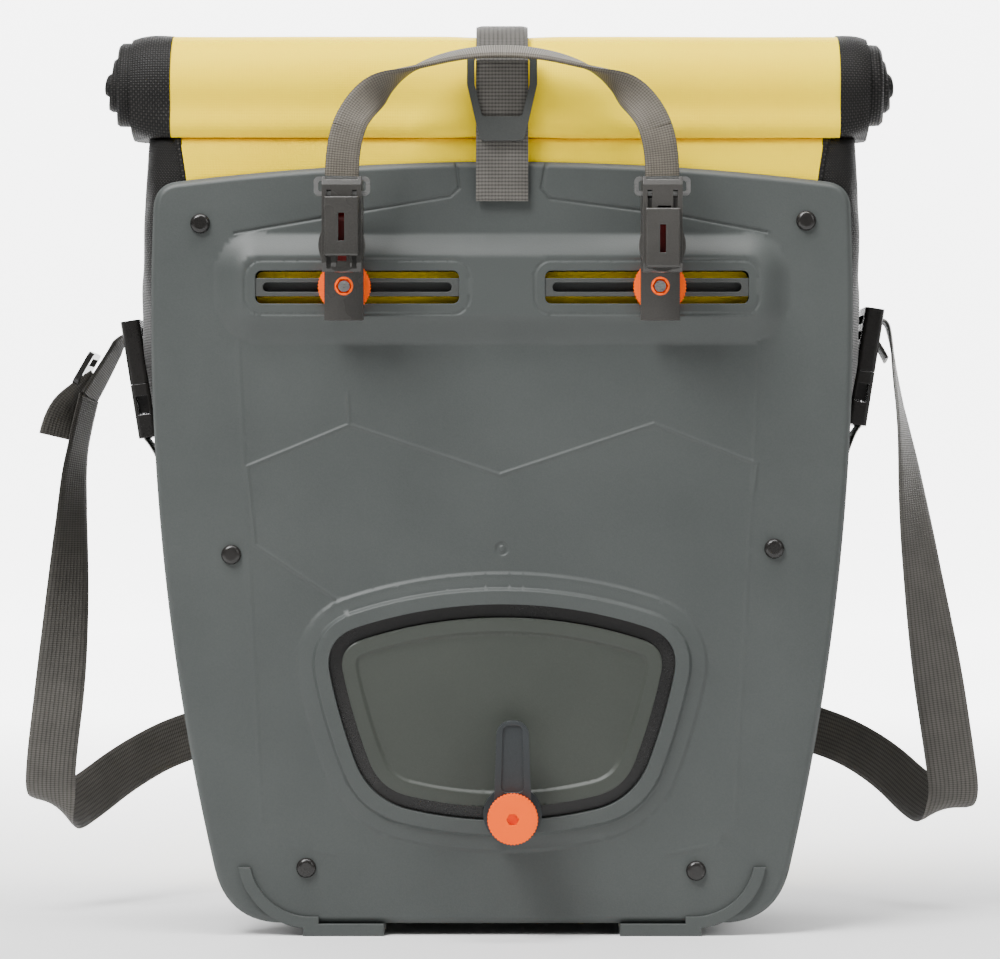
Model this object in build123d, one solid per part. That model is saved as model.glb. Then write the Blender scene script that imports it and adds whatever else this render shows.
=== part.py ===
from build123d import *
import math
import os

# Roll-top bicycle pannier bag, in millimetres. +Z up, +X to the right of someone facing the
# rack side, -Y towards the rack. The origin is the middle of the bag's footprint, on the floor.

os.makedirs("parts", exist_ok=True)

# ---------------------------------------------------------------- driving dimensions
PLATE_FRONT = -73.0          # rack-side face of the back plate
PLATE_THICK = 4.0
PANEL_BACK = PLATE_FRONT + PLATE_THICK      # the bag's back panel lies against the plate here
PLATE_TOP_Z = 360.7          # top edge at its corners
PLATE_CROWN_Z = 371.8        # top edge in the middle
PLATE_BOTTOM_Z = 5.8
PLATE_TOP_HALF = 168.0
PLATE_BOTTOM_HALF = 117.5
PLATE_MID = (152.6, 180.5)   # a point on the bowed side edge

BOSS_FRONT = PLATE_FRONT - 7.0              # raised face that carries the two rails
RAIL_Z = 311.0
RAIL_HEIGHT = 8.6
SLOT_NEAR, SLOT_FAR = 20.6, 118.0           # slot ends, from the middle of the plate
SLOT_HEIGHT = 15.8
RAIL_SLIT = 4.6              # the slit in the rail that the clamp screw passes

HOOK_X = 75.3
TUBE_RADIUS = 8.0            # largest rack tube that the hooks take
WHEEL_BACK = BOSS_FRONT - 0.3
BRACKET_BACK = BOSS_FRONT - 4.0
THROAT_BACK = BRACKET_BACK - 4.5
THROAT_FRONT = THROAT_BACK - 2 * TUBE_RADIUS
HOOK_FRONT = THROAT_FRONT - 9.0
TUBE_Y = THROAT_BACK - TUBE_RADIUS
TUBE_Z = 339.0
HOOK_TOP_Z = 361.2
SLIDER_TRAVEL = 5.5

RING_FRONT = PLATE_FRONT - 4.0              # raised rim around the lower track, and the island
GROOVE_WIDTH = 6.4
TRACK_UNDERCUT = 2.65
UNDERCUT_FRONT = PLATE_FRONT - 0.5
TRACK_FLOOR = PANEL_BACK - 1.5
ISLAND_TOP_Z, ISLAND_TOP_RADIUS = 152.8, 218.0
TRACK_ARC_RADIUS = 190.0     # the island's bottom edge
TRACK_ARC_Z = 62.0 + TRACK_ARC_RADIUS
ANCHOR_X = 5.0
ANCHOR_Z = TRACK_ARC_Z - TRACK_ARC_RADIUS - GROOVE_WIDTH / 2

BAG_BASE_Z = 6.0
NECK_Z = 383.5
WALL = 2.5
# outer shape of the stuffed bag: height, half width, outer-face y, corner radius
BAG_SECTIONS = [
    (BAG_BASE_Z, 106, 94, 20), (14, 116, 102, 24), (40, 126, 106, 28), (95, 141, 108, 32),
    (180, 158, 109, 34), (240, 168, 108, 34), (290, 177, 103, 32), (320, 180, 88, 28),
    (345, 180.5, 55, 24), (366, 177, 8, 16), (NECK_Z, 171, -30, 10),
]
SEAM_BOTTOM_HALF, SEAM_TOP_HALF = 104.0, 156.5   # seams between panels and gussets

ROLL_Y, ROLL_Z = -45.5, 409.5
ROLL_RADIUS = 28.5
ROLL_LEFT, ROLL_RIGHT = -159.5, 162.5
ROLL_END_LEFT, ROLL_END_RIGHT = -186.0, 178.0

WEBBING = 25.0
WEB_THICK = 1.6
BUCKLE_TILT = 9.0
LEFT_BUCKLE = (-181.4, 12.0, 269.7)
RIGHT_BUCKLE = (182.0, 12.0, 276.0)
BUCKLE_THICK = 9.6
BUCKLE_WIDTH = 34.0

RIVETS = [(-144.9, 341.8), (145.9, 343.2), (-130.0, 182.9), (130.6, 185.8), (-94.0, 32.6),
          (93.1, 31.2)]
RIVET_SHAFT = 2.0
WASHER_RADIUS = 6.5


# ---------------------------------------------------------------- helpers
def block(x0, x1, y0, y1, z0, z1):
    """A box between two corners."""
    centre = Pos((x0 + x1) / 2, (y0 + y1) / 2, (z0 + z1) / 2)
    return centre * Box(abs(x1 - x0), abs(y1 - y0), abs(z1 - z0))


def slab(sketch, y_back, y_front):
    """A sketch drawn in X and Z, made solid between two depths."""
    return extrude(Plane.XZ.offset(-y_back) * sketch, y_back - y_front)


def rod(x, z, radius, y_back, y_front):
    """A round bar along Y."""
    return slab(Pos(x, z) * Circle(radius), y_back, y_front)


def cross_rod(x0, x1, y, z, radius):
    """A round bar along X."""
    return extrude(Plane.YZ.offset(x0) * Pos(y, z) * Circle(radius), x1 - x0)


def side_profile(points, x0, x1):
    """A closed outline in Y and Z, made solid between two x values."""
    outline = make_face(Polyline(*points, close=True))
    return extrude(Plane.YZ.offset(x0) * outline, x1 - x0)


def strip(points, thickness, x0, x1):
    """A flat strap that follows points in Y and Z, thickened to the left of its direction."""
    far = []
    for i, point in enumerate(points):
        before = Vector(*points[max(i - 1, 0)])
        here = Vector(*point)
        after = Vector(*points[min(i + 1, len(points) - 1)])
        incoming = (here - before) if i else (after - here)
        outgoing = (after - here) if i < len(points) - 1 else incoming
        mean = (incoming.normalized() + outgoing.normalized()).normalized()
        reach = thickness / max(0.5, mean.dot(outgoing.normalized()))
        far.append((here.X - mean.Y * reach, here.Y + mean.X * reach))
    return side_profile(list(points) + far[::-1], x0, x1)


def rounded(width, height, radius):
    return RectangleRounded(width, height, radius)


def knurled(radius, teeth, depth):
    """A round outline with small teeth."""
    points = []
    for i in range(2 * teeth):
        reach = radius if i % 2 else radius - depth
        angle = math.pi * i / teeth
        points.append((reach * math.cos(angle), reach * math.sin(angle)))
    return make_face(Polyline(*points, close=True))


def save(shape, node):
    export_step(shape, f"parts/{node}.step")


def group(solids):
    return Compound(children=list(solids))


# ---------------------------------------------------------------- back plate and its track
def plate_outline():
    """Bowed sides, an arched top edge and large bottom corners."""
    top_right = (PLATE_TOP_HALF, PLATE_TOP_Z)
    bottom_right = (PLATE_BOTTOM_HALF, PLATE_BOTTOM_Z)
    top = ThreePointArc((-top_right[0], top_right[1]), (0, PLATE_CROWN_Z), top_right)
    right = ThreePointArc(top_right, PLATE_MID, bottom_right)
    bottom = Line(bottom_right, (-bottom_right[0], bottom_right[1]))
    left = ThreePointArc((-bottom_right[0], bottom_right[1]), (-PLATE_MID[0], PLATE_MID[1]),
                         (-top_right[0], top_right[1]))
    face = make_face([top, right, bottom, left])
    corners = face.vertices().sort_by(Axis.Y)
    face = fillet(corners[:2], 33)
    return fillet(face.vertices().sort_by(Axis.Y)[-2:], 14)


def island_outline(grow=0.0):
    """The rounded trapezoid that the lower track runs around: where four large circles meet."""
    face = Pos(0, ISLAND_TOP_Z - ISLAND_TOP_RADIUS) * Circle(ISLAND_TOP_RADIUS + grow)
    face &= Pos(0, TRACK_ARC_Z) * Circle(TRACK_ARC_RADIUS + grow)
    for side in (-1, 1):
        face &= Pos(side * -201.7, 185) * Circle(284 + grow)
    face = fillet(face.vertices().sort_by(Axis.Y)[:2], 14 + grow)
    return fillet(face.vertices().sort_by(Axis.Y)[-2:], 16 + grow)


def cut_slots(solid):
    """Opens the two rail slots, with room behind them for the clamp nuts."""
    for side in (-1, 1):
        near, far = side * (SLOT_NEAR - 1.5), side * (SLOT_FAR + 1.5)
        solid -= block(near, far, PANEL_BACK, BOSS_FRONT + 3, RAIL_Z - 10.2, RAIL_Z + 10.2)
        middle = side * (SLOT_NEAR + SLOT_FAR) / 2
        opening = Pos(middle, RAIL_Z) * rounded(SLOT_FAR - SLOT_NEAR, SLOT_HEIGHT, 2.6)
        solid -= slab(opening, BOSS_FRONT + 4, BOSS_FRONT - 1)
    return solid


def make_rail_boss():
    """Raised tray with sloping sides that carries the rails."""
    foot = Plane.XZ.offset(-PLATE_FRONT) * Pos(0, 311.7) * rounded(275, 53.4, 13)
    face = Plane.XZ.offset(-BOSS_FRONT) * Pos(0, 310.9) * rounded(246, 24.6, 6)
    return cut_slots(loft([foot, face], ruled=True))


def make_track_rim():
    """Raised rim around the lower track."""
    rim = island_outline(GROOVE_WIDTH + 7.0) - island_outline(GROOVE_WIDTH)
    undercut = slab(island_outline(GROOVE_WIDTH + TRACK_UNDERCUT), PLATE_FRONT, UNDERCUT_FRONT)
    return slab(rim, PLATE_FRONT, RING_FRONT) - undercut


def make_plate():
    plate = slab(plate_outline(), PANEL_BACK, PLATE_FRONT)
    front_edges = plate.faces().sort_by(Axis.Y)[0].outer_wire().edges()
    plate = cut_slots(chamfer(front_edges, 1.4))
    plate -= slab(island_outline(GROOVE_WIDTH + TRACK_UNDERCUT), PANEL_BACK, PLATE_FRONT)
    for x, z in RIVETS:
        plate -= rod(x, z, RIVET_SHAFT, PANEL_BACK + 1, PLATE_FRONT - 1)
    return plate


def make_rail(side):
    """Bar across a slot, with a long slit for the clamp screw."""
    middle = side * (SLOT_NEAR + SLOT_FAR) / 2
    length = SLOT_FAR - SLOT_NEAR
    bar = slab(Pos(middle, RAIL_Z) * Rectangle(length, RAIL_HEIGHT), BOSS_FRONT + 4,
               BOSS_FRONT + 0.5)
    slit = Pos(middle, RAIL_Z) * SlotOverall(length - 7, RAIL_SLIT)
    return bar - slab(slit, BOSS_FRONT + 5, BOSS_FRONT)


def make_track_floor():
    band = island_outline(GROOVE_WIDTH + TRACK_UNDERCUT) - island_outline(-TRACK_UNDERCUT)
    return slab(band, PANEL_BACK, TRACK_FLOOR)


def make_island():
    body = slab(island_outline(), UNDERCUT_FRONT, RING_FRONT)
    body += slab(island_outline(-TRACK_UNDERCUT), PANEL_BACK, UNDERCUT_FRONT)
    return body - slab(island_outline(-6.2), RING_FRONT + 1.2, RING_FRONT - 1)


def make_foot(side):
    """Corner guard that follows the plate's corner, with a pad that the bag stands on."""
    inner = plate_outline()
    outer = offset(inner, amount=2.2, kind=Kind.ARC)
    corner = Pos(side * 112, 16) * Rectangle(48, 34)
    guard = slab((outer - inner) & corner, PANEL_BACK + 8, PLATE_FRONT - 2)
    lip = slab((outer - offset(inner, amount=-3.5, kind=Kind.ARC)) & corner, PLATE_FRONT, PLATE_FRONT - 2)
    pad = block(side * 56.6, side * 95.5, PLATE_FRONT - 2, PANEL_BACK + 26, 0, PLATE_BOTTOM_Z)
    bag_room = block(side * 40, side * 140, PANEL_BACK, PANEL_BACK + 40, BAG_BASE_Z, 60)
    return guard + lip + (pad - slab(inner, PANEL_BACK, PLATE_FRONT)) - bag_room


def make_front_feet():
    pad = rounded(34, 26, 5)
    return group([extrude(Pos(side * 76, 66) * pad, BAG_BASE_Z) for side in (-1, 1)])


def make_rivets():
    """Domed rivets with shafts that pass the plate and the bag's back panel."""
    solids = []
    for x, z in RIVETS:
        head = rod(x, z, 4.8, PLATE_FRONT, PLATE_FRONT - 2.6)
        head = fillet(head.faces().sort_by(Axis.Y)[0].edges(), 2.2)
        solids.append(head + rod(x, z, RIVET_SHAFT, PANEL_BACK + 5, PLATE_FRONT))
    return group(solids)


def make_washers():
    return group([rod(x, z, WASHER_RADIUS, PANEL_BACK + WALL + 1.4, PANEL_BACK + WALL)
                  - rod(x, z, RIVET_SHAFT, PANEL_BACK + 9, PANEL_BACK) for x, z in RIVETS])


# ---------------------------------------------------------------- bag shell
def bag_form(inset):
    """The stuffed bag's form, made smaller by the wall thickness for its inside."""
    sections = []
    for height, half, front, radius in BAG_SECTIONS:
        if height == BAG_BASE_Z:
            height += inset
        if height == NECK_Z:
            height -= inset
        back = PANEL_BACK + inset
        width, depth = 2 * (half - inset), front - inset - back
        outline = Pos(0, back + depth / 2) * rounded(width, depth, radius - inset * 0.6)
        sections.append(Pos(0, 0, height) * outline)
    return loft(sections, ruled=True)


def between_seams():
    """The wedge between the two seams that part the panels from the gussets."""
    points = [(-SEAM_BOTTOM_HALF, 0), (SEAM_BOTTOM_HALF, 0), (SEAM_TOP_HALF, NECK_Z),
              (-SEAM_TOP_HALF, NECK_Z)]
    return slab(make_face(Polyline(*points, close=True)), 140, -140)


def make_shell():
    shell = bag_form(0) - bag_form(WALL)
    for x, z in RIVETS:
        shell -= rod(x, z, RIVET_SHAFT, PANEL_BACK + 9, PANEL_BACK - 1)
        shell -= rod(x, z, WASHER_RADIUS + 0.3, PANEL_BACK + 9, PANEL_BACK + WALL)
    base_zone = block(-200, 200, -150, 150, 0, 14)
    wedge = between_seams()
    base = shell & base_zone
    upper = shell - base_zone
    middle = upper & wedge
    sides = upper - wedge
    back_zone = block(-200, 200, -150, PANEL_BACK + WALL, 0, 400)
    return {
        "base_panel": base,
        "back_panel": middle & back_zone,
        "front_panel": (middle - back_zone).solids().sort_by(SortBy.VOLUME)[-1],
        "left_gusset": sides & block(-200, 0, -150, 150, 0, 400),
        "right_gusset": sides & block(0, 200, -150, 150, 0, 400),
    }


def roll_length(x0, x1, radius):
    """A length of the rolled closure, flat where it sits on the bag's neck."""
    return cross_rod(x0, x1, ROLL_Y, ROLL_Z, radius) - block(x0, x1, -90, 10, 370, NECK_Z)


def make_roll():
    """Rolled closure: tarpaulin roll, its stiffener inside, and a woven roll end at each side."""
    batten = block(ROLL_LEFT + 6, ROLL_RIGHT - 6, ROLL_Y - 1, ROLL_Y + 1, ROLL_Z - 12, ROLL_Z + 12)
    left = roll_length(ROLL_END_LEFT, ROLL_LEFT, ROLL_RADIUS - 1)
    left += cross_rod(-193, ROLL_END_LEFT, ROLL_Y, ROLL_Z, 15)
    right = roll_length(ROLL_RIGHT, ROLL_END_RIGHT, ROLL_RADIUS - 1)
    right += cross_rod(ROLL_END_RIGHT, 189, ROLL_Y, ROLL_Z, 15)
    return {
        "roll_top": roll_length(ROLL_LEFT, ROLL_RIGHT, ROLL_RADIUS) - batten,
        "roll_stiffener": batten,
        "roll_end_left": left,
        "roll_end_right": right,
    }


# ---------------------------------------------------------------- closure strap
LOCK_BACK = ROLL_Y - ROLL_RADIUS - 3.0


def make_closure():
    """Strap from the outer face over the roll to the ladder lock, with its tail."""
    roll_arc = []
    for angle in range(-15, 181, 15):
        reach = ROLL_RADIUS + 0.9
        roll_arc.append((ROLL_Y + reach * math.cos(math.radians(angle)),
                         ROLL_Z + reach * math.sin(math.radians(angle))))
    rise = [(108.6, 58), (109.0, 70), (117.4, 80), (117.4, 112), (110.4, 124), (110.4, 180),
            (109.4, 240), (104.6, 290), (90.2, 321), (57.5, 346.2), (12, 366.6), (-8, 381)]
    half = WEBBING / 2
    strap = strip(rise + roll_arc, -WEB_THICK, -half, half)
    roll_front = ROLL_Y - ROLL_RADIUS - 0.6
    tail_top = (roll_front - WEB_THICK, ROLL_Z - 3)
    tail = strip([tail_top, (PLATE_FRONT - 2.6, 380), (PLATE_FRONT - 2.6, 352)], WEB_THICK,
                 -half, half)
    outline = make_face(Polyline((-16.8, 424), (16.8, 424), (16.8, 408), (10.5, 381),
                                 (-10.5, 381), (-16.8, 408), close=True))
    window = make_face(Polyline((-13.2, 421), (13.2, 421), (13.2, 408), (9.5, 392.5),
                                (-9.5, 392.5), (-13.2, 408), close=True))
    lock = slab(fillet(outline.vertices(), 3), LOCK_BACK, LOCK_BACK - 3.4)
    lock -= slab(fillet(window.vertices(), 2), LOCK_BACK + 1, LOCK_BACK - 5)
    return {"closure_strap": strap, "closure_tail": tail, "ladder_lock": lock}


# ---------------------------------------------------------------- rack hooks
def hook_profile():
    """Side view of the hook: bracket leg, round seat for the rack tube, outer leg."""
    leg_top = TUBE_Z
    seat_top = (TUBE_Y, leg_top + TUBE_RADIUS)
    edges = [
        Line((BRACKET_BACK, 294.7), (BRACKET_BACK, HOOK_TOP_Z - 8)),
        ThreePointArc((BRACKET_BACK, HOOK_TOP_Z - 8), (BRACKET_BACK - 2.4, HOOK_TOP_Z - 2.4),
                      (BRACKET_BACK - 8, HOOK_TOP_Z)),
        Line((BRACKET_BACK - 8, HOOK_TOP_Z), (HOOK_FRONT + 2, HOOK_TOP_Z)),
        Line((HOOK_FRONT + 2, HOOK_TOP_Z), (HOOK_FRONT, HOOK_TOP_Z - 4)),
        Line((HOOK_FRONT, HOOK_TOP_Z - 4), (HOOK_FRONT, 320.5)),
        Line((HOOK_FRONT, 320.5), (HOOK_FRONT + 3, 316.5)),
        Line((HOOK_FRONT + 3, 316.5), (THROAT_FRONT - 2, 316.5)),
        Line((THROAT_FRONT - 2, 316.5), (THROAT_FRONT, 319.5)),
        Line((THROAT_FRONT, 319.5), (THROAT_FRONT, leg_top)),
        ThreePointArc((THROAT_FRONT, leg_top), seat_top, (THROAT_BACK, leg_top)),
        Line((THROAT_BACK, leg_top), (THROAT_BACK, 294.7)),
        Line((THROAT_BACK, 294.7), (BRACKET_BACK, 294.7)),
    ]
    return make_face(edges)


PIN_Y, PIN_Z = THROAT_FRONT - 2.4, 342.3
BAIL_Y = THROAT_FRONT - 4.6
BAIL_LOW, BAIL_HIGH = 353.3, 360.3


def make_hook(x, slider_lift):
    """One rack hook with its clamp, latch and safety slider, centred on x."""
    body = extrude(Plane.YZ.offset(x - 9.3) * hook_profile(), 18.6)
    ears = slab(Pos(x, 329) * Ellipse(10.9, 12.6), THROAT_FRONT, HOOK_FRONT + 1.2)
    ears &= block(x - 12, x + 12, THROAT_FRONT, HOOK_FRONT, 316.5, 342.3)
    body += ears
    body -= rod(x, RAIL_Z, 4.5, BRACKET_BACK + 1, THROAT_BACK - 1)
    body -= block(x - 2.4, x + 3.9, THROAT_FRONT + 1, HOOK_FRONT - 1, 318.8, 347.3)
    body -= block(x - 7.6, x + 7.6, BAIL_Y + 3.2, BAIL_Y - 3.0, 350.9, HOOK_TOP_Z + 1)
    body -= block(x - 10, x + 10, BAIL_Y + 1.3, BAIL_Y - 1.3, BAIL_LOW - 1.2, HOOK_TOP_Z + 1)
    for side in (-1, 1):
        body -= block(x + side * 4.9, x + side * 7.1, HOOK_FRONT + 2, HOOK_FRONT - 1, 315, 354.8)
    body -= cross_rod(x - 9.3, x + 9.3, PIN_Y, PIN_Z, 1.2)
    pin = cross_rod(x - 9.3, x + 9.3, PIN_Y, PIN_Z, 1.2)
    bail = slab(Pos(x, (BAIL_LOW + BAIL_HIGH) / 2) * rounded(26.4, BAIL_HIGH - BAIL_LOW + 2, 2.4),
                BAIL_Y + 1, BAIL_Y - 1)
    bail -= slab(Pos(x, (BAIL_LOW + BAIL_HIGH) / 2) * rounded(22.4, BAIL_HIGH - BAIL_LOW - 2, 1.2),
                 BAIL_Y + 2, BAIL_Y - 2)
    wheel = slab(Pos(x, RAIL_Z) * knurled(12.75, 48, 0.5), WHEEL_BACK, BRACKET_BACK + 0.3)
    wheel += rod(x, RAIL_Z, 4.4, WHEEL_BACK, THROAT_BACK)
    hexagon = Pos(x, RAIL_Z) * RegularPolygon(3.3, 6, major_radius=False)
    wheel -= slab(hexagon, THROAT_BACK + 3, THROAT_BACK - 1)
    wheel -= rod(x, RAIL_Z, 2.06, WHEEL_BACK + 1, THROAT_BACK - 1)
    screw = rod(x, RAIL_Z, 2.0, BOSS_FRONT + 7.4, THROAT_BACK + 2.9)
    screw += rod(x, RAIL_Z, 2.7, THROAT_BACK + 2.9, THROAT_BACK + 0.9)
    screw -= slab(Pos(x, RAIL_Z) * (Rectangle(3.6, 0.8) + Rectangle(0.8, 3.6)),
                  THROAT_BACK + 1.9, THROAT_BACK)
    nut = block(x - 6, x + 6, BOSS_FRONT + 7.6, BOSS_FRONT + 4.2, RAIL_Z - 6.5, RAIL_Z + 6.5)
    nut -= rod(x, RAIL_Z, 2.0, BOSS_FRONT + 9, BOSS_FRONT + 3)
    return {
        "body": body, "pivot_pin": pin, "release_bail": bail, "clamp_wheel": wheel,
        "clamp_screw": screw, "clamp_nut": nut, "latch_pawl": make_pawl(x),
        "pawl_spring": make_pawl_spring(x), "safety_slider": make_slider(x, slider_lift),
    }


def make_pawl(x):
    """Latch finger that hangs from its pin and closes the hook's throat under the tube."""
    top, bottom = PIN_Z + 3.2, PIN_Z - 20.5
    points = [(PIN_Y + 1.2, top), (PIN_Y - 1.3, top), (PIN_Y - 1.3, bottom),
              (PIN_Y + 1.2, bottom), (THROAT_FRONT + 4.4, bottom + 6), (THROAT_FRONT + 3.4, bottom + 7.7),
              (PIN_Y + 1.2, bottom + 8.1)]
    pawl = side_profile(points, x - 2, x + 2)
    pawl += cross_rod(x - 2, x + 2, PIN_Y, PIN_Z, 2.1)
    return pawl - cross_rod(x - 3, x + 3, PIN_Y, PIN_Z, 1.25)


def make_pawl_spring(x):
    """Torsion spring beside the pawl: a coil around the pin with a straight leg."""
    coil = cross_rod(x + 2.3, x + 3.6, PIN_Y, PIN_Z, 2.2) - cross_rod(x + 2, x + 4, PIN_Y, PIN_Z, 1.25)
    leg = block(x + 2.4, x + 3.2, PIN_Y + 1.4, PIN_Y + 2.1, PIN_Z - 9, PIN_Z)
    return coil + leg


def make_slider(x, lift):
    """Safety slider on the hook's outer leg, with a window on the latch finger."""
    bottom, top = 318.2 + lift, 346.2 + lift
    back = HOOK_FRONT - 0.2
    plate = block(x - 8.1, x + 8.1, back, back - 2.8, bottom, top)
    plate = fillet(plate.faces().sort_by(Axis.Y)[0].edges(), 1.0)
    plate -= block(x - 1.4, x + 1.4, back + 1, back - 4, bottom + 7.0, bottom + 20.2)
    for side in (-1, 1):
        plate += block(x + side * 5.1, x + side * 6.9, HOOK_FRONT + 1.8, back, bottom + 2, top)
    return plate


# ---------------------------------------------------------------- lower anchor
def make_anchor():
    """Swing arm that hooks behind a rack strut, with its clamp in the track."""
    x, z = ANCHOR_X, ANCHOR_Z
    arm_back, arm_front = RING_FRONT - 15, RING_FRONT - 21
    foot = rod(x, z, 14, RING_FRONT - 0.25, RING_FRONT - 3.2)
    foot += rod(x, z, 9.2, RING_FRONT - 3.2, arm_front)
    outline = make_face(Polyline((x - 9.1, z - 2), (x + 9.1, z - 2), (x + 7.5, z + 46),
                                 (x - 7.5, z + 46), close=True))
    outline = fillet(outline.vertices().sort_by(Axis.Y)[-2:], 7)
    arm = foot + slab(outline, arm_back, arm_front)
    recess = make_face(Polyline((x - 5.6, z + 12), (x + 5.6, z + 12), (x + 4.7, z + 44),
                                (x - 4.7, z + 44), close=True))
    arm -= slab(fillet(recess.vertices(), 3), arm_front + 1, arm_front - 1)
    arm -= rod(x, z, 2.55, RING_FRONT, arm_front - 1)
    knob = slab(Pos(x, z) * knurled(12.0, 44, 0.45), arm_front - 0.25, arm_front - 8.5)
    knob = knob - rod(x, z, 2.55, arm_front, arm_front - 4.8)
    knob -= slab(Pos(x, z) * RegularPolygon(2.6, 6, major_radius=False), arm_front - 5.4,
                 arm_front - 9)
    bolt = rod(x, z, 2.5, TRACK_FLOOR - 0.3, arm_front - 4.6)
    runner = Pos(x, z) * Rectangle(10, GROOVE_WIDTH - 1.2)
    flange = Pos(x, z) * Rectangle(14, GROOVE_WIDTH + 2 * TRACK_UNDERCUT - 1.6)
    slider = slab(runner, UNDERCUT_FRONT, RING_FRONT + 0.2)
    slider += slab(flange, TRACK_FLOOR - 0.3, UNDERCUT_FRONT + 0.3)
    slider += slab(runner, UNDERCUT_FRONT + 0.3, UNDERCUT_FRONT)
    slider -= rod(x, z, 2.5, PANEL_BACK, RING_FRONT - 1)
    return {"anchor_arm": arm, "anchor_knob": knob, "anchor_bolt": bolt, "track_slider": slider}


# ---------------------------------------------------------------- side-release buckles
def placed(shape, spot):
    """Turns a buckle upright in its own frame to lie along the sloping gusset."""
    side = 1 if spot[0] > 0 else -1
    return Pos(*spot) * Rot(0, side * BUCKLE_TILT, 0) * shape


def make_socket():
    half = BUCKLE_WIDTH / 2
    thick = BUCKLE_THICK / 2
    shell = block(-thick, thick, -half, half, -30, -3)
    shell = fillet(shell.edges().filter_by(Axis.Z), 2.2)
    shell -= block(-2.9, 2.9, -13.5, 13.5, -20, -2)
    for side in (-1, 1):
        shell -= block(-2.9, 2.9, side * 12, side * (half + 1), -18.5, -9)
    return shell - block(-thick - 1, thick + 1, -12.8, 12.8, -27, -24.4)


def make_plug():
    half = BUCKLE_WIDTH / 2
    thick = BUCKLE_THICK / 2
    frame = block(-thick, thick, -half, half, -2.7, 29)
    frame = fillet(frame.edges().filter_by(Axis.Z), 2.2)
    for low in (12.5, 20.5):
        frame -= block(-thick - 1, thick + 1, -12.9, 12.9, low, low + 4.6)
    frame += block(-1.8, 1.8, -2.5, 2.5, -17, -2.7)
    for side in (-1, 1):
        frame += block(-2.5, 2.5, side * 9, side * 12.6, -17.5, -2.7)
    return frame


def make_tab(spot):
    """Webbing tab that ties a socket's end bar to the gusset."""
    side = 1 if spot[0] > 0 else -1
    x, y, z = spot
    gusset = BAG_SECTIONS[5][1]          # half width of the bag where the tab's lower end lies
    low = BAG_SECTIONS[5][0] - 20
    points = [(side * (gusset - 2.7), low), (side * (gusset - 1.1), low), (side * (gusset + 2.2), 236),
              (side * (abs(x) - 3.6), z - 31.4), (side * (abs(x) - 8.6), z - 31.4),
              (side * (gusset + 0.6), 238)]
    outline = make_face(Polyline(*points, close=True))
    return slab(outline, y + WEBBING / 2, y - WEBBING / 2)


# ---------------------------------------------------------------- carrying straps
def ribbon(path, spans, width, thickness):
    """A flat strap along a path. spans lists (share of the length, direction of its width)."""
    count = max(12, round(path.length / 9))
    rings = []
    for i in range(count + 1):
        share = i / count
        for (s0, w0), (s1, w1) in zip(spans, spans[1:]):
            if s0 <= share <= s1:
                mix = (share - s0) / (s1 - s0)
                across = Vector(*w0) * (1 - mix) + Vector(*w1) * mix
                break
        along = path % share
        across = (across - along * across.dot(along)).normalized() * (width / 2)
        face_way = along.cross(across).normalized() * (thickness / 2)
        middle = path @ share
        rings.append([middle - across - face_way, middle + across - face_way,
                      middle + across + face_way, middle - across + face_way])
    faces = [make_face(Polyline(*rings[0], close=True)), make_face(Polyline(*rings[-1], close=True))]
    for near, far in zip(rings, rings[1:]):
        for k in range(4):
            a, b, c, d = near[k], near[(k + 1) % 4], far[(k + 1) % 4], far[k]
            faces.append(make_face(Polyline(a, b, c, close=True)))
            faces.append(make_face(Polyline(a, c, d, close=True)))
    return Solid(Shell([face.face() for face in faces]))


def rounded_path(points, name):
    """Straight runs joined by arcs as large as the runs allow."""
    runs = [(Vector(*b) - Vector(*a)) for a, b in zip(points, points[1:])]
    radii = []
    for before, after in zip(runs, runs[1:]):
        half_turn = math.radians(before.get_angle(after)) / 2
        radii.append(0.45 * min(before.length, after.length) / math.tan(half_turn))
    path = FilletPolyline(*points, radius=radii)
    print(name, "length", round(path.length, 1), "radii", [round(r, 1) for r in radii])
    return path


HANDLE_POINTS = [
    (-HOOK_X, BAIL_Y, 361.6), (-75.0, -110.5, 380), (-65.0, -103, 399), (-43.5, -95.5, 414),
    (-16.0, -91, 422.4), (16.0, -91, 422.4), (43.5, -95.5, 414), (65.0, -103, 399),
    (75.0, -110.5, 380), (HOOK_X, BAIL_Y, 361.6),
]
HANDLE_WIDTH = 16.0

SHOULDER_POINTS = [
    (185.4, 12, 298.7), (193.0, 12, 300.8), (196.0, 11.4, 290), (198.2, 9, 268), (202.8, 6, 239),
    (206.4, 5, 206), (212.5, 6, 162), (219.5, 8, 118), (225.5, 11, 80), (229, 16, 58), (224, 28, 50),
    (214, 45, 56), (197, 70, 73), (172, 97, 86), (128, 115.0, 95), (78, 114.4, 99), (27, 113.7, 101),
    (-23, 113.7, 101.5), (-76, 114.4, 98), (-126, 115.0, 93), (-170, 97, 83), (-195, 71, 70),
    (-213, 47, 56), (-223, 30, 50), (-228.5, 17, 57), (-227, 10, 78), (-222, 8, 116),
    (-218.5, 6, 156), (-216, 4, 198), (-214, 4.5, 234), (-207.5, 7, 260), (-196.5, 10, 279.5),
    (-191.4, 12, 290.5), (-184.9, 12, 292.4),
]


def make_adjuster():
    """Slide that sets the shoulder strap's length, lying on the strap near the left buckle."""
    frame = block(-1.4, 1.4, -16, 16, -9, 9)
    frame = fillet(frame.edges().filter_by(Axis.X), 3)
    for low in (-6.2, 2.2):
        frame -= block(-2, 2, -12.9, 12.9, low, low + 4)
    return Pos(-208.9, 8.4, 274.6) * Rot(0, 30, 0) * frame


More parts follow.
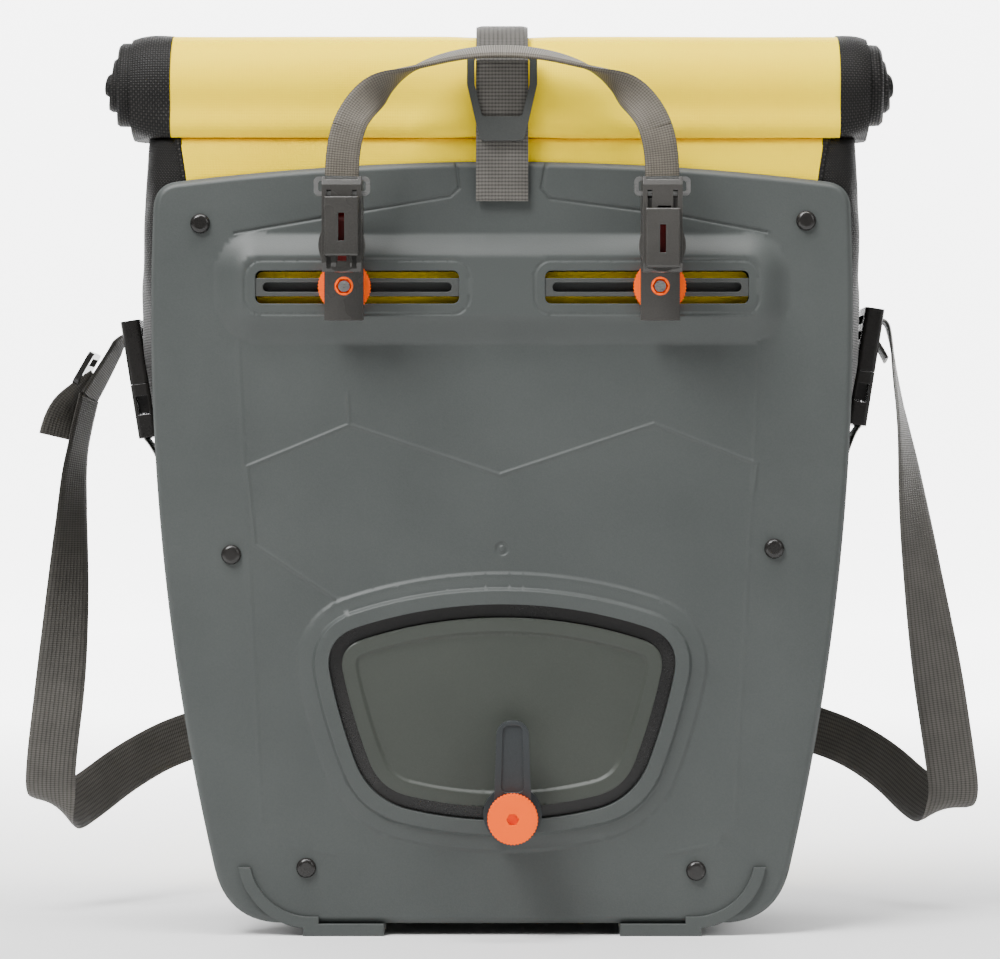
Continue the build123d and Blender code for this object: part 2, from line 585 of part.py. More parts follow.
def make_straps():
    handle_path = rounded_path(HANDLE_POINTS, "carry handle")
    handle_width = [(0, (1, 0, 0)), (0.12, (1, 0, 0)), (0.38, (0.35, 1, 0.2)),
                    (0.5, (0, 1, 0.15)), (0.62, (-0.35, 1, 0.2)), (0.88, (-1, 0, 0)),
                    (1, (-1, 0, 0))]
    handle = ribbon(handle_path, handle_width, HANDLE_WIDTH, 2.4)
    shoulder_path = rounded_path(SHOULDER_POINTS, "shoulder strap")
    shoulder_width = [(0, (0, 1, 0)), (0.05, (0.25, 1, 0)), (0.13, (1, 0.7, 0)),
                      (0.2, (1, -0.1, 0)), (0.245, (1, -0.1, 0.2)), (0.285, (0.45, 0, 1)),
                      (0.34, (0, 0, 1)), (0.66, (0, 0, 1)), (0.74, (-0.45, 0, 1)),
                      (0.775, (-1, -0.1, 0.2)), (0.82, (-1, -0.1, 0)), (0.9, (-1, -0.5, 0)),
                      (1, (-0.35, -1, 0))]
    shoulder = ribbon(shoulder_path, shoulder_width, WEBBING, WEB_THICK)
    print("shoulder strap volume", round(shoulder.volume), "section times length",
          round(WEBBING * WEB_THICK * shoulder_path.length))
    return {"carry_handle": handle, "shoulder_strap": shoulder, "strap_adjuster": make_adjuster()}


def main():
    save(make_plate(), "back_plate")
    save(make_rail_boss(), "rail_boss")
    save(make_track_rim(), "track_rim")
    save(make_rail(-1), "rail_left")
    save(make_rail(1), "rail_right")
    save(make_track_floor(), "track_floor")
    save(make_island(), "track_island")
    save(make_foot(-1), "corner_foot_left")
    save(make_foot(1), "corner_foot_right")
    save(make_front_feet(), "base_feet")
    save(make_rivets(), "plate_rivets")
    save(make_washers(), "rivet_washers")
    for node, shape in make_shell().items():
        save(shape, node)
    for node, shape in make_roll().items():
        save(shape, node)
    for node, shape in make_closure().items():
        save(shape, node)
    for side, x, lift in (("left", -HOOK_X, SLIDER_TRAVEL), ("right", HOOK_X, 0)):
        for piece, shape in make_hook(x, lift).items():
            save(shape, f"hook_{side}_{piece}")
    for node, shape in make_anchor().items():
        save(shape, node)
    for side, spot in (("left", LEFT_BUCKLE), ("right", RIGHT_BUCKLE)):
        save(placed(make_socket(), spot), f"buckle_socket_{side}")
        save(placed(make_plug(), spot), f"buckle_plug_{side}")
        save(make_tab(spot), f"buckle_tab_{side}")
    for node, shape in make_straps().items():
        save(shape, node)


main()
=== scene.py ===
"""Looks of the pannier bag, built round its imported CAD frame.

Lengths in this script are millimetres in the frame's axes (+X right, +Y away from the rack, +Z up);
they become metres where a mesh, light or camera is made.
"""
import math

import bpy
import numpy as np
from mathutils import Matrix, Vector
from mathutils.geometry import delaunay_2d_cdt


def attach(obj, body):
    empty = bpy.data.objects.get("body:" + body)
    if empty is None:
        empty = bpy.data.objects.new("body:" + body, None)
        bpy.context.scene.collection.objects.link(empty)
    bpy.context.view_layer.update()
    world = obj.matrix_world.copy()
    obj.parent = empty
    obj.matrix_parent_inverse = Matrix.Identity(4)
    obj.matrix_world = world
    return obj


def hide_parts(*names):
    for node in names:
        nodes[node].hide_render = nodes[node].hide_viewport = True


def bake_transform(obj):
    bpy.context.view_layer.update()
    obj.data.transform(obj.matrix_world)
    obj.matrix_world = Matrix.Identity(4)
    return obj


MM = 0.001
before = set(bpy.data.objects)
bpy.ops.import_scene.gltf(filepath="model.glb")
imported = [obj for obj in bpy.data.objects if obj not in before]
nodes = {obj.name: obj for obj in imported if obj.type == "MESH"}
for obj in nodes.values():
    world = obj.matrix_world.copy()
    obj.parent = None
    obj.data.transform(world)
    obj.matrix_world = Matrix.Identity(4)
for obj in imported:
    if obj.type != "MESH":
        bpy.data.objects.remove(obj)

# ------------------------------------------------------------------ main dimensions
PLATE_FRONT = -73.0
PANEL_BACK = -69.0
EDGE_WIDTH, EDGE_DROP = 3.4, 2.6
BOSS_BOX = (0, 311.4, 137.5, 26.7, 20)       # centre x and z, half width and height, corner radius
BOSS_RISE, BOSS_SLOPE = 7.0, 12.5
RING_RISE = 4.0
GROOVE_WIDTH = 6.4
RAIL_Z = 311.0
# y of the two faces of the painted-shade strip behind each rail slit
SLIT_SHADE_FACES = (-71.9, -70.4)
SLOT_NEAR, SLOT_FAR, SLOT_HALF, SLOT_CORNER = 20.6, 118.0, 7.9, 3.0
SEAM_BOTTOM_HALF, SEAM_TOP_HALF = 104.0, 156.5
NECK_Z = 383.5
ROLL_Y, ROLL_Z, ROLL_RADIUS = -45.5, 409.5, 28.5
ROLL_LEFT, ROLL_RIGHT = -159.5, 162.5
HOOK_X = 75.3
WEB_WIDTH, WEB_THICK = 25.0, 1.6

# An outline's arcs (centre x, centre z, radius) run top, right, bottom, left. Its corners, which
# follow the arcs in that order, are rounded, and each is named by a place near it.
PLATE_CIRCLES = [
    (0, -905.1, 1276.9), (-1011.5, 298.7, 1180.2), (0, 50005.8, 50000), (1011.5, 298.7, 1180.2)]
PLATE_FILLETS = (14, 33, 33, 14)
PLATE_CORNERS = [(168, 360.7), (117.5, 5.8), (-117.5, 5.8), (-168, 360.7)]
ISLAND_CIRCLES = [(0, -65.2, 218), (-201.7, 185, 284), (0, 252, 190), (201.7, 185, 284)]
ISLAND_FILLETS = (14, 16, 16, 14)
ISLAND_CORNERS = [(79, 138), (50, 69), (-50, 69), (-79, 138)]

BAG_SECTIONS = [             # z, half width, y of the outer face, corner radius
    (6, 106, 94, 20), (14, 116, 102, 24), (40, 126, 106, 28), (95, 141, 108, 32),
    (180, 158, 109, 34), (240, 168, 108, 34), (290, 177, 103, 32), (320, 180, 88, 28),
    (345, 180.5, 55, 24), (366, 177, 8, 16), (383.5, 171, -30, 10)]

SHOULDER_POINTS = [
    (185.4, 12, 298.7), (193.0, 12, 300.8), (196.0, 11.4, 290), (198.2, 9, 268), (202.8, 6, 239),
    (206.4, 5, 206), (212.5, 6, 162), (219.5, 8, 118), (225.5, 11, 80), (229, 16, 58), (224, 28, 50),
    (214, 45, 56), (197, 70, 73), (172, 97, 86), (128, 115.0, 95), (78, 114.4, 99), (27, 113.7, 101),
    (-23, 113.7, 101.5), (-76, 114.4, 98), (-126, 115.0, 93), (-170, 97, 83), (-195, 71, 70),
    (-213, 47, 56), (-223, 30, 50), (-228.5, 17, 57), (-227, 10, 78), (-222, 8, 116),
    (-218.5, 6, 156), (-216, 4, 198), (-214, 4.5, 234), (-207.5, 7, 260),
]
STRAP_END_POINTS = [(-207.5, 7, 260), (-196.5, 10, 279.5), (-191.4, 12, 290.5), (-184.9, 12, 292.4)]
HANDLE_POINTS = [
    (-HOOK_X, -109.1, 361.6), (-75.0, -110.5, 380), (-65.0, -103, 399), (-43.5, -95.5, 414),
    (-16.0, -91, 422.4), (16.0, -91, 422.4), (43.5, -95.5, 414), (65.0, -103, 399),
    (75.0, -110.5, 380), (HOOK_X, -109.1, 361.6)]
HANDLE_FOOT_Z = 383.0
HANDLE_WIDTH, HANDLE_THICK = 16.0, 2.4

# ------------------------------------------------------------------ camera
camera = bpy.data.objects.new("camera", bpy.data.cameras.new("camera"))
camera.data.sensor_width = 36
camera.data.lens = 127.5
camera.location = (-0.001, -1.773, 0.219)
camera.rotation_euler = (math.radians(90), 0, 0)
bpy.context.scene.collection.objects.link(camera)
bpy.context.scene.camera = camera

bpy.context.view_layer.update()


# ------------------------------------------------------------------ materials
def linear(red, green, blue):
    """Display colour from 0 to 255 as the renderer's linear colour."""
    return tuple((c / 255 / 12.92) if c < 11 else ((c / 255 + 0.055) / 1.055) ** 2.4
                 for c in (red, green, blue)) + (1.0,)


def add(tree, kind, settings=None, **inputs):
    """A shader node; inputs are named by their socket, or by i and their number."""
    made = tree.nodes.new("ShaderNode" + kind)
    for key, value in (settings or {}).items():
        setattr(made, key, value)
    for key, value in inputs.items():
        socket = made.inputs[int(key[1:]) if key[1:].isdigit() else key.replace("_", " ")]
        if isinstance(value, bpy.types.NodeSocket):
            tree.links.new(value, socket)
        else:
            socket.default_value = value
    return made


def math_node(tree, operation, *values):
    inputs = {f"i{k}": value for k, value in enumerate(values)}
    return add(tree, "Math", {"operation": operation}, **inputs).outputs[0]


def noise(tree, vector, scale, detail=3.0, rough=0.55):
    return add(tree, "TexNoise", Vector=vector, Scale=scale, Detail=detail,
               Roughness=rough).outputs["Fac"]


def blend_colours(tree, share, low, high):
    ramp = add(tree, "ValToRGB", Fac=share)
    ramp.color_ramp.elements[0].color = low
    ramp.color_ramp.elements[1].color = high
    return ramp.outputs["Color"]


def start_material(name, **principled):
    material = bpy.data.materials.new(name)
    material.use_nodes = True
    tree = material.node_tree
    shader = next(n for n in tree.nodes if n.type == "BSDF_PRINCIPLED")
    for key, value in principled.items():
        shader.inputs[key.replace("_", " ")].default_value = value
    return material, tree, shader


def finish_material(tree, shader, colour, rough=None, height=None, strength=0.3, distance=0.0002,
                    normal=None):
    tree.links.new(colour, shader.inputs["Base Color"])
    if rough is not None:
        tree.links.new(rough, shader.inputs["Roughness"])
    if height is not None:
        extra = {"Normal": normal} if normal is not None else {}
        bump = add(tree, "Bump", Strength=strength, Distance=distance, Height=height, **extra)
        tree.links.new(bump.outputs["Normal"], shader.inputs["Normal"])


def scaled(tree, value, low, high):
    """A value from 0 to 1 moved to the range low to high."""
    return add(tree, "MapRange", Value=value, To_Min=low, To_Max=high).outputs["Result"]


def moulded(name, base, light, rough, grain=1.0, edge=0.5, edge_radius=0.0005, specular=0.4):
    """Moulded plastic: fine grain, faint flow marks and lighter, rubbed edges."""
    material, tree, shader = start_material(name, Specular_IOR_Level=specular)
    place = add(tree, "TexCoord").outputs["Object"]
    fine = noise(tree, place, 1500, 2)
    broad = noise(tree, place, 14, 4)
    round_edge = add(tree, "Bevel", {"samples": 4}, Radius=edge_radius).outputs["Normal"]
    plain = add(tree, "NewGeometry").outputs["Normal"]
    turn = add(tree, "VectorMath", {"operation": "DOT_PRODUCT"}, i0=round_edge, i1=plain)
    worn = add(tree, "MapRange", Value=turn.outputs["Value"], From_Min=0.98, From_Max=0.75,
               To_Min=0.0, To_Max=edge).outputs["Result"]
    scuff = math_node(tree, "MULTIPLY", worn, noise(tree, place, 160, 3))
    tone = math_node(tree, "ADD", math_node(tree, "MULTIPLY", fine, 0.35),
                     math_node(tree, "MULTIPLY", broad, 0.5))
    tone = math_node(tree, "ADD", tone, scuff)
    colour = blend_colours(tree, tone, linear(*base), linear(*light))
    roughness = scaled(tree, broad, rough - 0.06, rough + 0.06)
    finish_material(tree, shader, colour, roughness, fine, 0.25 * grain, 0.00012, round_edge)
    return material


def tarpaulin(name, shade, base):
    """Coated tarpaulin: soft gloss, faint scrim under the coating and shallow creases."""
    material, tree, shader = start_material(name, Specular_IOR_Level=0.03)
    place = add(tree, "TexCoord").outputs["Object"]
    flat = add(tree, "SeparateXYZ", Vector=add(tree, "UVMap").outputs["UV"])
    across = math_node(tree, "SINE", math_node(tree, "MULTIPLY", flat.outputs["X"], 5200.0))
    along = math_node(tree, "SINE", math_node(tree, "MULTIPLY", flat.outputs["Y"], 5200.0))
    scrim = math_node(tree, "MULTIPLY", math_node(tree, "ADD", across, along), 0.06)
    stretched = add(tree, "Mapping", Vector=place, Scale=(1.0, 2.4, 2.4)).outputs["Vector"]
    creases = noise(tree, stretched, 26, 5, 0.6)
    height = math_node(tree, "ADD", creases, scrim)
    colour = blend_colours(tree, scaled(tree, noise(tree, place, 18, 4), 0.1, 1.0),
                           linear(*shade), linear(*base))
    finish_material(tree, shader, colour, scaled(tree, creases, 0.3, 0.46), height, 0.3, 0.0012)
    return material


def woven(name, dark, light, pitch, gloss=0.55):
    """Coarse basket weave, each yarn crossing standing up, with a painted highlight on its crown and
    painted shade between the yarns.
    """
    material, tree, shader = start_material(name, Specular_IOR_Level=0.22)
    flat = add(tree, "SeparateXYZ", Vector=add(tree, "UVMap").outputs["UV"])
    turn = math.pi / pitch
    x = math_node(tree, "MULTIPLY", flat.outputs["X"], turn)
    y = math_node(tree, "MULTIPLY", flat.outputs["Y"], turn)
    over = math_node(tree, "MULTIPLY", math_node(tree, "SINE", x), math_node(tree, "SINE", y))
    crown = math_node(tree, "ABSOLUTE", over)
    lift = math_node(tree, "ADD", math_node(tree, "MULTIPLY", crown, 0.6),
                     math_node(tree, "MULTIPLY", over, 0.3))
    place = add(tree, "TexCoord").outputs["Object"]
    # Colour follows the yarn height: painted highlight on the crowns and painted shade between them,
    # with random patches from the noise.
    crown_highlight_and_patches = math_node(tree, "MULTIPLY", lift, scaled(tree, noise(tree, place, 60, 4), 0.3, 1.3))
    colour = blend_colours(tree, crown_highlight_and_patches, linear(*dark), linear(*light))
    finish_material(tree, shader, colour, scaled(tree, crown, gloss + 0.2, gloss - 0.1), lift, 0.7,
                    pitch * 0.35)
    return material


def webbing(name, dark, light, rib_pitch=0.0021, pick_pitch=0.0011, picks=0.4):
    """Ribbed webbing: lengthwise ribs crossed by fine picks, with painted shade in the gaps between
    them; UV X runs across and Y along.
    """
    material, tree, shader = start_material(name, Specular_IOR_Level=0.25)
    flat = add(tree, "SeparateXYZ", Vector=add(tree, "UVMap").outputs["UV"])
    x = math_node(tree, "MULTIPLY", flat.outputs["X"], math.pi / rib_pitch)
    rib = math_node(tree, "ABSOLUTE", math_node(tree, "SINE", x))
    y = math_node(tree, "MULTIPLY", flat.outputs["Y"], math.pi / pick_pitch)
    pick = math_node(tree, "ABSOLUTE", math_node(tree, "SINE", y))
    height = math_node(tree, "ADD", math_node(tree, "MULTIPLY", math_node(tree, "SQRT", rib),
                                              1 - picks), math_node(tree, "MULTIPLY", pick, picks))
    place = add(tree, "TexCoord").outputs["Object"]
    # Colour follows the weave height: painted shade in the gaps between ribs and picks, with random
    # tone from the noise.
    tone = math_node(tree, "MULTIPLY", height, scaled(tree, noise(tree, place, 90, 4), 0.55, 1.15))
    colour = blend_colours(tree, tone, linear(*dark), linear(*light))
    finish_material(tree, shader, colour, scaled(tree, pick, 0.75, 0.5), height, 0.6, 0.00045)
    return material


def metal(name, tone, rough):
    material, tree, shader = start_material(name, Metallic=1.0)
    place = add(tree, "TexCoord").outputs["Object"]
    brushed = add(tree, "Mapping", Vector=place, Scale=(40.0, 900.0, 900.0)).outputs["Vector"]
    lines = noise(tree, brushed, 4, 3)
    colour = blend_colours(tree, noise(tree, place, 300, 3), linear(*(c * 0.82 for c in tone)),
                           linear(*tone))
    finish_material(tree, shader, colour, scaled(tree, lines, rough - 0.08, rough + 0.12), lines,
                    0.15, 0.0001)
    return material


GREY = moulded("grey_plastic", (46, 50, 49), (76, 80, 78), 0.5, 1.6, edge_radius=0.0008)
ISLAND_GREY = moulded("island_plastic", (39, 43, 38), (64, 68, 62), 0.46, 1.3)
DARK = moulded("dark_plastic", (20, 20, 19), (82, 80, 77), 0.28, 0.6, 0.9)
RAIL_DARK = moulded("rail_plastic", (38, 40, 39), (84, 86, 84), 0.4, 0.6, 0.8)
COOL_DARK = moulded("arm_plastic", (14, 16, 17), (62, 66, 68), 0.32, 0.6, 0.9, specular=0.3)
BLACK = moulded("black_plastic", (8, 8, 8), (46, 44, 42), 0.25, 0.4, 0.8)
ORANGE = moulded("orange_plastic", (255, 80, 0), (255, 108, 4), 0.46, 0.4, 0.3, specular=0.1)
RED = moulded("red_plastic", (105, 8, 6), (150, 20, 14), 0.4, 0.4, 0.5)
STEEL = metal("steel", (205, 205, 203), 0.28)
YELLOW = tarpaulin("tarpaulin_yellow", (248, 204, 0), (255, 226, 0))
FABRIC = woven("woven_black", (5, 5, 5), (48, 45, 42), 0.0013)
STRAP = webbing("webbing", (26, 25, 23), (92, 89, 84))
RIBBED = webbing("handle_webbing", (26, 24, 21), (106, 100, 90), 0.0013, 0.0011, 0.45)
PICKED = webbing("closure_webbing", (24, 23, 21), (104, 101, 96), 0.0016, 0.0017, 0.6)
SLOT_MATERIALS = {
    "grey_plastic": GREY, "dark_plastic": DARK, "black_plastic": BLACK, "orange_plastic": ORANGE,
    "red_plastic": RED, "steel": STEEL, "tarpaulin_yellow": YELLOW, "woven_black": FABRIC,
    "webbing": STRAP}


# ------------------------------------------------------------------ mesh helpers
def add_mesh(name, points, faces, material, uv=None, sharp=40):
    """A mesh piece from points in millimetres; uv gives each point's place in metres."""
    mesh = bpy.data.meshes.new(name)
    mesh.from_pydata([tuple(float(c) * MM for c in p) for p in points], [], faces)
    if uv is not None:
        layer = mesh.uv_layers.new(name="UVMap")
        corners = np.array([uv[loop.vertex_index] for loop in mesh.loops], np.float32)
        layer.data.foreach_set("uv", corners.ravel())
    mesh.materials.append(material)
    mesh.shade_smooth()
    mesh.set_sharp_from_angle(angle=math.radians(sharp))
    piece = bpy.data.objects.new(name, mesh)
    bpy.context.scene.collection.objects.link(piece)
    return piece


def grid_faces(rows, columns, closed=False):
    """Quads between neighbouring rows of points; closed joins each row's end to its start."""
    faces = []
    for r in range(rows - 1):
        for c in range(columns if closed else columns - 1):
            d = (c + 1) % columns
            faces.append((r * columns + c, r * columns + d, (r + 1) * columns + d,
                          (r + 1) * columns + c))
    return faces


def turned_faces(rows, columns, closed=False):
    """The quads of grid_faces, wound the other way."""
    return [face[::-1] for face in grid_faces(rows, columns, closed)]


def spline(points, steps=10):
    """Points, in millimetres, read along the NURBS spline that a route's points control."""
    curve = bpy.data.curves.new("route", "CURVE")
    curve.dimensions = "3D"
    line = curve.splines.new("NURBS")
    line.points.add(len(points) - 1)
    for control, point in zip(line.points, points):
        control.co = (*point, 1)
    line.order_u = 3
    line.use_endpoint_u = True
    line.resolution_u = steps
    holder = bpy.data.objects.new("route", curve)
    bpy.context.scene.collection.objects.link(holder)
    mesh = bpy.data.meshes.new_from_object(holder)
    found = np.array([v.co[:] for v in mesh.vertices])
    bpy.data.objects.remove(holder)
    return found


def unit(vectors):
    return vectors / np.linalg.norm(vectors, axis=-1, keepdims=True)


def along_lengths(path):
    """Length run along a path at each of its points."""
    steps = np.linalg.norm(np.diff(path, axis=0), axis=1)
    return np.concatenate([[0], np.cumsum(steps)])


def directions(spans, shares):
    """Width direction at each share of the length, mixed between the spans' directions."""
    marks = [s for s, _ in spans]
    return np.stack([np.interp(shares, marks, [w[k] for _, w in spans]) for k in range(3)], axis=1)


def ribbon(name, path, across, width, thick, material):
    """A flat strap: eleven points over its width on each face, rounded at both edges."""
    ahead = unit(np.gradient(path, axis=0))
    across = unit(across - ahead * np.sum(across * ahead, axis=1)[:, None])
    outward = np.cross(ahead, across)
    lengths = along_lengths(path)
    spots = np.linspace(-1, 1, 11)
    profile = [(s, 1) for s in spots] + [(s, -1) for s in spots[::-1]]
    points, uv = [], []
    for centre, wide, out, run in zip(path, across, outward, lengths):
        for s, side in profile:
            edge = math.sqrt(max(0.0, 1 - max(0.0, (abs(s) - 0.9) / 0.1) ** 2)) * 0.85 + 0.15
            points.append(centre + wide * s * width / 2 + out * side * thick / 2 * edge)
            uv.append((s * width / 2 * MM, run * MM))
    count = len(profile)
    faces = grid_faces(len(path), count, closed=True)
    faces.append(tuple(range(count))[::-1])
    faces.append(tuple(range((len(path) - 1) * count, len(path) * count)))
    return add_mesh(name, points, faces, material, uv)


def constant(direction, count):
    return np.tile(np.array(direction, float), (count, 1))


def wobble(place, scale, seed=0.0):
    """Smooth repeatable bumps from -1 to 1."""
    x, y, z = (np.asarray(c, float) / scale + seed for c in place)
    return (np.sin(x * 1.9 + 1.3 * np.sin(y * 1.7 + seed)) + np.sin(y * 2.3 + 1.1 * np.sin(z * 1.3))
            + np.sin(z * 2.1 + 1.2 * np.sin(x * 1.1 + 2 * seed))) / 3


# ------------------------------------------------------------------ shoulder strap (free cord)
SHOULDER_ACROSS = [
    (0, (0, 1, 0)), (0.05, (0.25, 1, 0)), (0.13, (1, 0.7, 0)), (0.2, (1, -0.1, 0)),
    (0.255, (1, -0.1, 0.2)), (0.295, (0.45, 0, 1)), (0.35, (0, 0, 1)), (0.69, (0, 0, 1)),
    (0.77, (-0.45, 0, 1)), (0.81, (-1, -0.1, 0.2)), (0.85, (-1, -0.15, 0)),
    (0.885, (-0.87, -0.5, 0)), (0.94, (-0.52, -0.85, 0)), (0.975, (-0.31, -0.95, 0)),
    (1, (-0.3, -0.95, 0))]


def make_shoulder_strap():
    """The long strap from the right plug to the slide, and its short end at the left plug."""
    path = spline(SHOULDER_POINTS, 10)
    shares = along_lengths(path) / along_lengths(path)[-1]
    across = directions(SHOULDER_ACROSS, shares)
    strap = ribbon("shoulder_strap_webbing", path, across, WEB_WIDTH, WEB_THICK, STRAP)
    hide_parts("shoulder_strap")
    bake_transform(strap)
    end_path = spline(STRAP_END_POINTS, 12)
    end_across = directions([(0, (-0.3, -0.95, 0)), (0.35, (-0.2, -1, 0)), (1, (-0.1, -1, 0))],
                            np.linspace(0, 1, len(end_path)))
    end = ribbon("shoulder_strap_end", end_path, end_across, WEB_WIDTH, WEB_THICK, STRAP)
    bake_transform(end)


def make_strap_ends():
    """Sewn end at the right buckle, and the loose tail beyond the slide at the left one."""
    sewn = spline([(183.4, 12, 299.2), (181.0, 12, 297.5), (189.6, 12, 287), (193.5, 11, 279)], 8)
    piece = ribbon("strap_sewn_end", sewn, constant((0, 1, 0), len(sewn)), WEB_WIDTH - 1, WEB_THICK,
                   STRAP)
    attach(piece, "plug_right")
    tail = spline([(-203.5, 7, 270), (-213, 6, 262), (-220.5, 4, 250), (-222, 3, 240)], 8)
    across = directions([(0, (-0.5, -1, 0)), (1, (-0.9, -0.75, 0.1))],
                        np.linspace(0, 1, len(tail)))
    piece = ribbon("strap_loose_tail", tail, across, WEB_WIDTH - 1, WEB_THICK, STRAP)
    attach(piece, "root")


make_shoulder_strap()
make_strap_ends()


# ------------------------------------------------------------------ moulded back plate
def circle_meet(a, b, near):
    """The point where two circles cross that is nearer to near."""
    (ax, az, ar), (bx, bz, br) = a, b
    gap = math.hypot(bx - ax, bz - az)
    reach = (ar * ar - br * br + gap * gap) / (2 * gap)
    rise = math.sqrt(max(0.0, ar * ar - reach * reach))
    ux, uz = (bx - ax) / gap, (bz - az) / gap
    choices = [(ax + ux * reach - uz * rise * s, az + uz * reach + ux * rise * s) for s in (1, -1)]
    return min(choices, key=lambda p: math.dist(p, near))


def arc_loop(circles, fillets, corners_near, grow=0.0, step=2.0):
    """Closed outline of four arcs with rounded corners, clockwise from the top left."""
    circles = [(x, z, r + grow) for x, z, r in circles]
    corners = [circle_meet(circles[k], circles[(k + 1) % 4], corners_near[k]) for k in range(4)]
    loop = []
    for k in range(4):
        x, z, r = circles[k]
        start, end = corners[k - 1], corners[k]
        a0 = math.atan2(start[1] - z, start[0] - x)
        a1 = math.atan2(end[1] - z, end[0] - x)
        a1 += -2 * math.pi * round((a1 - a0) / (2 * math.pi))
        trims = [(fillets[j] + grow) * 0.8 / r for j in (k - 1, k)]
        sign = 1 if a1 > a0 else -1
        b0, b1 = a0 + sign * trims[0], a1 - sign * trims[1]
        count = max(4, int(abs(b1 - b0) * r / step))
        run = [(x + r * math.cos(a), z + r * math.sin(a)) for a in np.linspace(b0, b1, count)]
        if loop:
            loop += soft_corner(loop[-1], corners[k - 1], run[0])
        loop += run
    loop += soft_corner(loop[-1], corners[3], loop[0])
    return np.array(loop)


def soft_corner(before, corner, after, count=14):
    """Points of the curve that rounds a corner, without its two ends."""
    found = []
    for t in np.linspace(0, 1, count)[1:-1]:
        found.append(tuple((1 - t) ** 2 * b + 2 * t * (1 - t) * c + t * t * a
                           for b, c, a in zip(before, corner, after)))
    return found


def plate_loop(grow=0.0, step=2.0):
    return arc_loop(PLATE_CIRCLES, PLATE_FILLETS, PLATE_CORNERS, grow, step)


def island_loop(grow=0.0, step=1.6):
    return arc_loop(ISLAND_CIRCLES, ISLAND_FILLETS, ISLAND_CORNERS, grow, step)


def slot_loop(side, grow=0.0):
    """Outline of one rail slot."""
    half_x, half_z = (SLOT_FAR - SLOT_NEAR) / 2 + grow, SLOT_HALF + grow
    middle = side * (SLOT_NEAR + SLOT_FAR) / 2
    radius = SLOT_CORNER + grow
    loop = []
    for cx, cz, turn in ((1, 1, 0), (-1, 1, 90), (-1, -1, 180), (1, -1, 270)):
        for a in range(turn, turn + 91, 15):
            loop.append((middle + cx * (half_x - radius) + radius * math.cos(math.radians(a)),
                         RAIL_Z + cz * (half_z - radius) + radius * math.sin(math.radians(a))))
    return np.array(loop)


def line_distance(x, z, line, closed=False):
    """Distance from points to a line of straight runs."""
    best = np.full(np.shape(x), 1e9)
    ends = np.roll(line, -1, axis=0) if closed else line[1:]
    for (ax, az), (bx, bz) in zip(line, ends):
        dx, dz = bx - ax, bz - az
        t = np.clip(((x - ax) * dx + (z - az) * dz) / (dx * dx + dz * dz + 1e-12), 0, 1)
        best = np.minimum(best, np.hypot(x - ax - t * dx, z - az - t * dz))
    return best


def is_inside(x, z, loop):
    """Whether points lie inside a closed outline."""
    inside = np.zeros(np.shape(x), bool)
    for (ax, az), (bx, bz) in zip(loop, np.roll(loop, -1, axis=0)):
        crosses = (az > z) != (bz > z)
        inside ^= crosses & (x < (bx - ax) * (z - az) / (bz - az + 1e-12) + ax)
    return inside


def box_distance(x, z, cx, cz, half_x, half_z, radius):
    """Signed distance to a box with rounded corners, negative inside."""
    qx, qz = np.abs(x - cx) - half_x + radius, np.abs(z - cz) - half_z + radius
    outside = np.hypot(np.maximum(qx, 0), np.maximum(qz, 0))
    return outside + np.minimum(np.maximum(qx, qz), 0) - radius


def eased(value):
    t = np.clip(value, 0, 1)
    return t * t * (3 - 2 * t)


# Fine lines on the plate's face, as x and z: raised folds, sunken wings and raised panel edges.
HEX_LINES = [
    [(-73.9, 259.7), (-73.4, 245.3), (-122.4, 225.1), (-118.6, 187.7), (-79.7, 161.8)],
    [(-73.4, 245.3), (-1, 221.3), (73, 245.8), (122.4, 226.6), (121, 214.1)]]
WING_LINES = [
    [(-22.1, 371), (-20.6, 359), (-25, 355), (-66.7, 348), (-128.2, 337.4)],
    [(21.1, 371), (18.9, 359), (23, 354), (86.4, 345.6), (127.2, 337.9)]]
PANEL_LINES = [
    [(-126.7, 286), (-115.2, 55.7), (-106, 44), (-80, 38.9)],
    [(123.8, 286), (111.8, 55.7), (103, 44), (78, 38.9)]]
GATE_MARK = (0, 185.8, 3.8)        # x, z and radius
PLATE_OUTLINE, ISLAND_OUTLINE = plate_loop(step=5.0), island_loop(step=3.0)


def plate_relief(x, z):
    """How far the plate's face stands out from its flat level."""
    inset = line_distance(x, z, PLATE_OUTLINE, closed=True)
    edge = np.clip(inset / EDGE_WIDTH, 0, 1)
    rise = -EDGE_DROP * (1 - edge) ** 2
    slope = np.clip(-box_distance(x, z, *BOSS_BOX) / BOSS_SLOPE, 0, 1)
    rise += BOSS_RISE * (0.65 * slope + 0.35 * eased(slope))
    for side in (-1, 1):
        middle = side * (SLOT_NEAR + SLOT_FAR) / 2
        lip = box_distance(x, z, middle, RAIL_Z, (SLOT_FAR - SLOT_NEAR) / 2, SLOT_HALF, SLOT_CORNER)
        rise -= 0.45 * np.exp(-((lip - 5.0) / 0.6) ** 2)
    around = line_distance(x, z, ISLAND_OUTLINE, closed=True)
    rise += 1.1 * eased((22.5 - around) / 2.2) + 0.9 * eased((20.5 - around) / 7)
    rise += (RING_RISE - 2.0) * eased((14.6 - around) / 1.8)
    for lines, height, width in ((HEX_LINES, 0.55, 0.8), (WING_LINES, -0.9, 0.6),
                                 (PANEL_LINES, 0.3, 0.9)):
        near = np.min([line_distance(x, z, np.array(line)) for line in lines], axis=0)
        rise += height * np.exp(-(near / width) ** 2)
    mark = np.hypot(x - GATE_MARK[0], z - GATE_MARK[1])
    rise -= 0.6 * eased((GATE_MARK[2] - mark) / 0.8) - 0.5 * eased((1.9 - mark) / 0.7)
    return rise


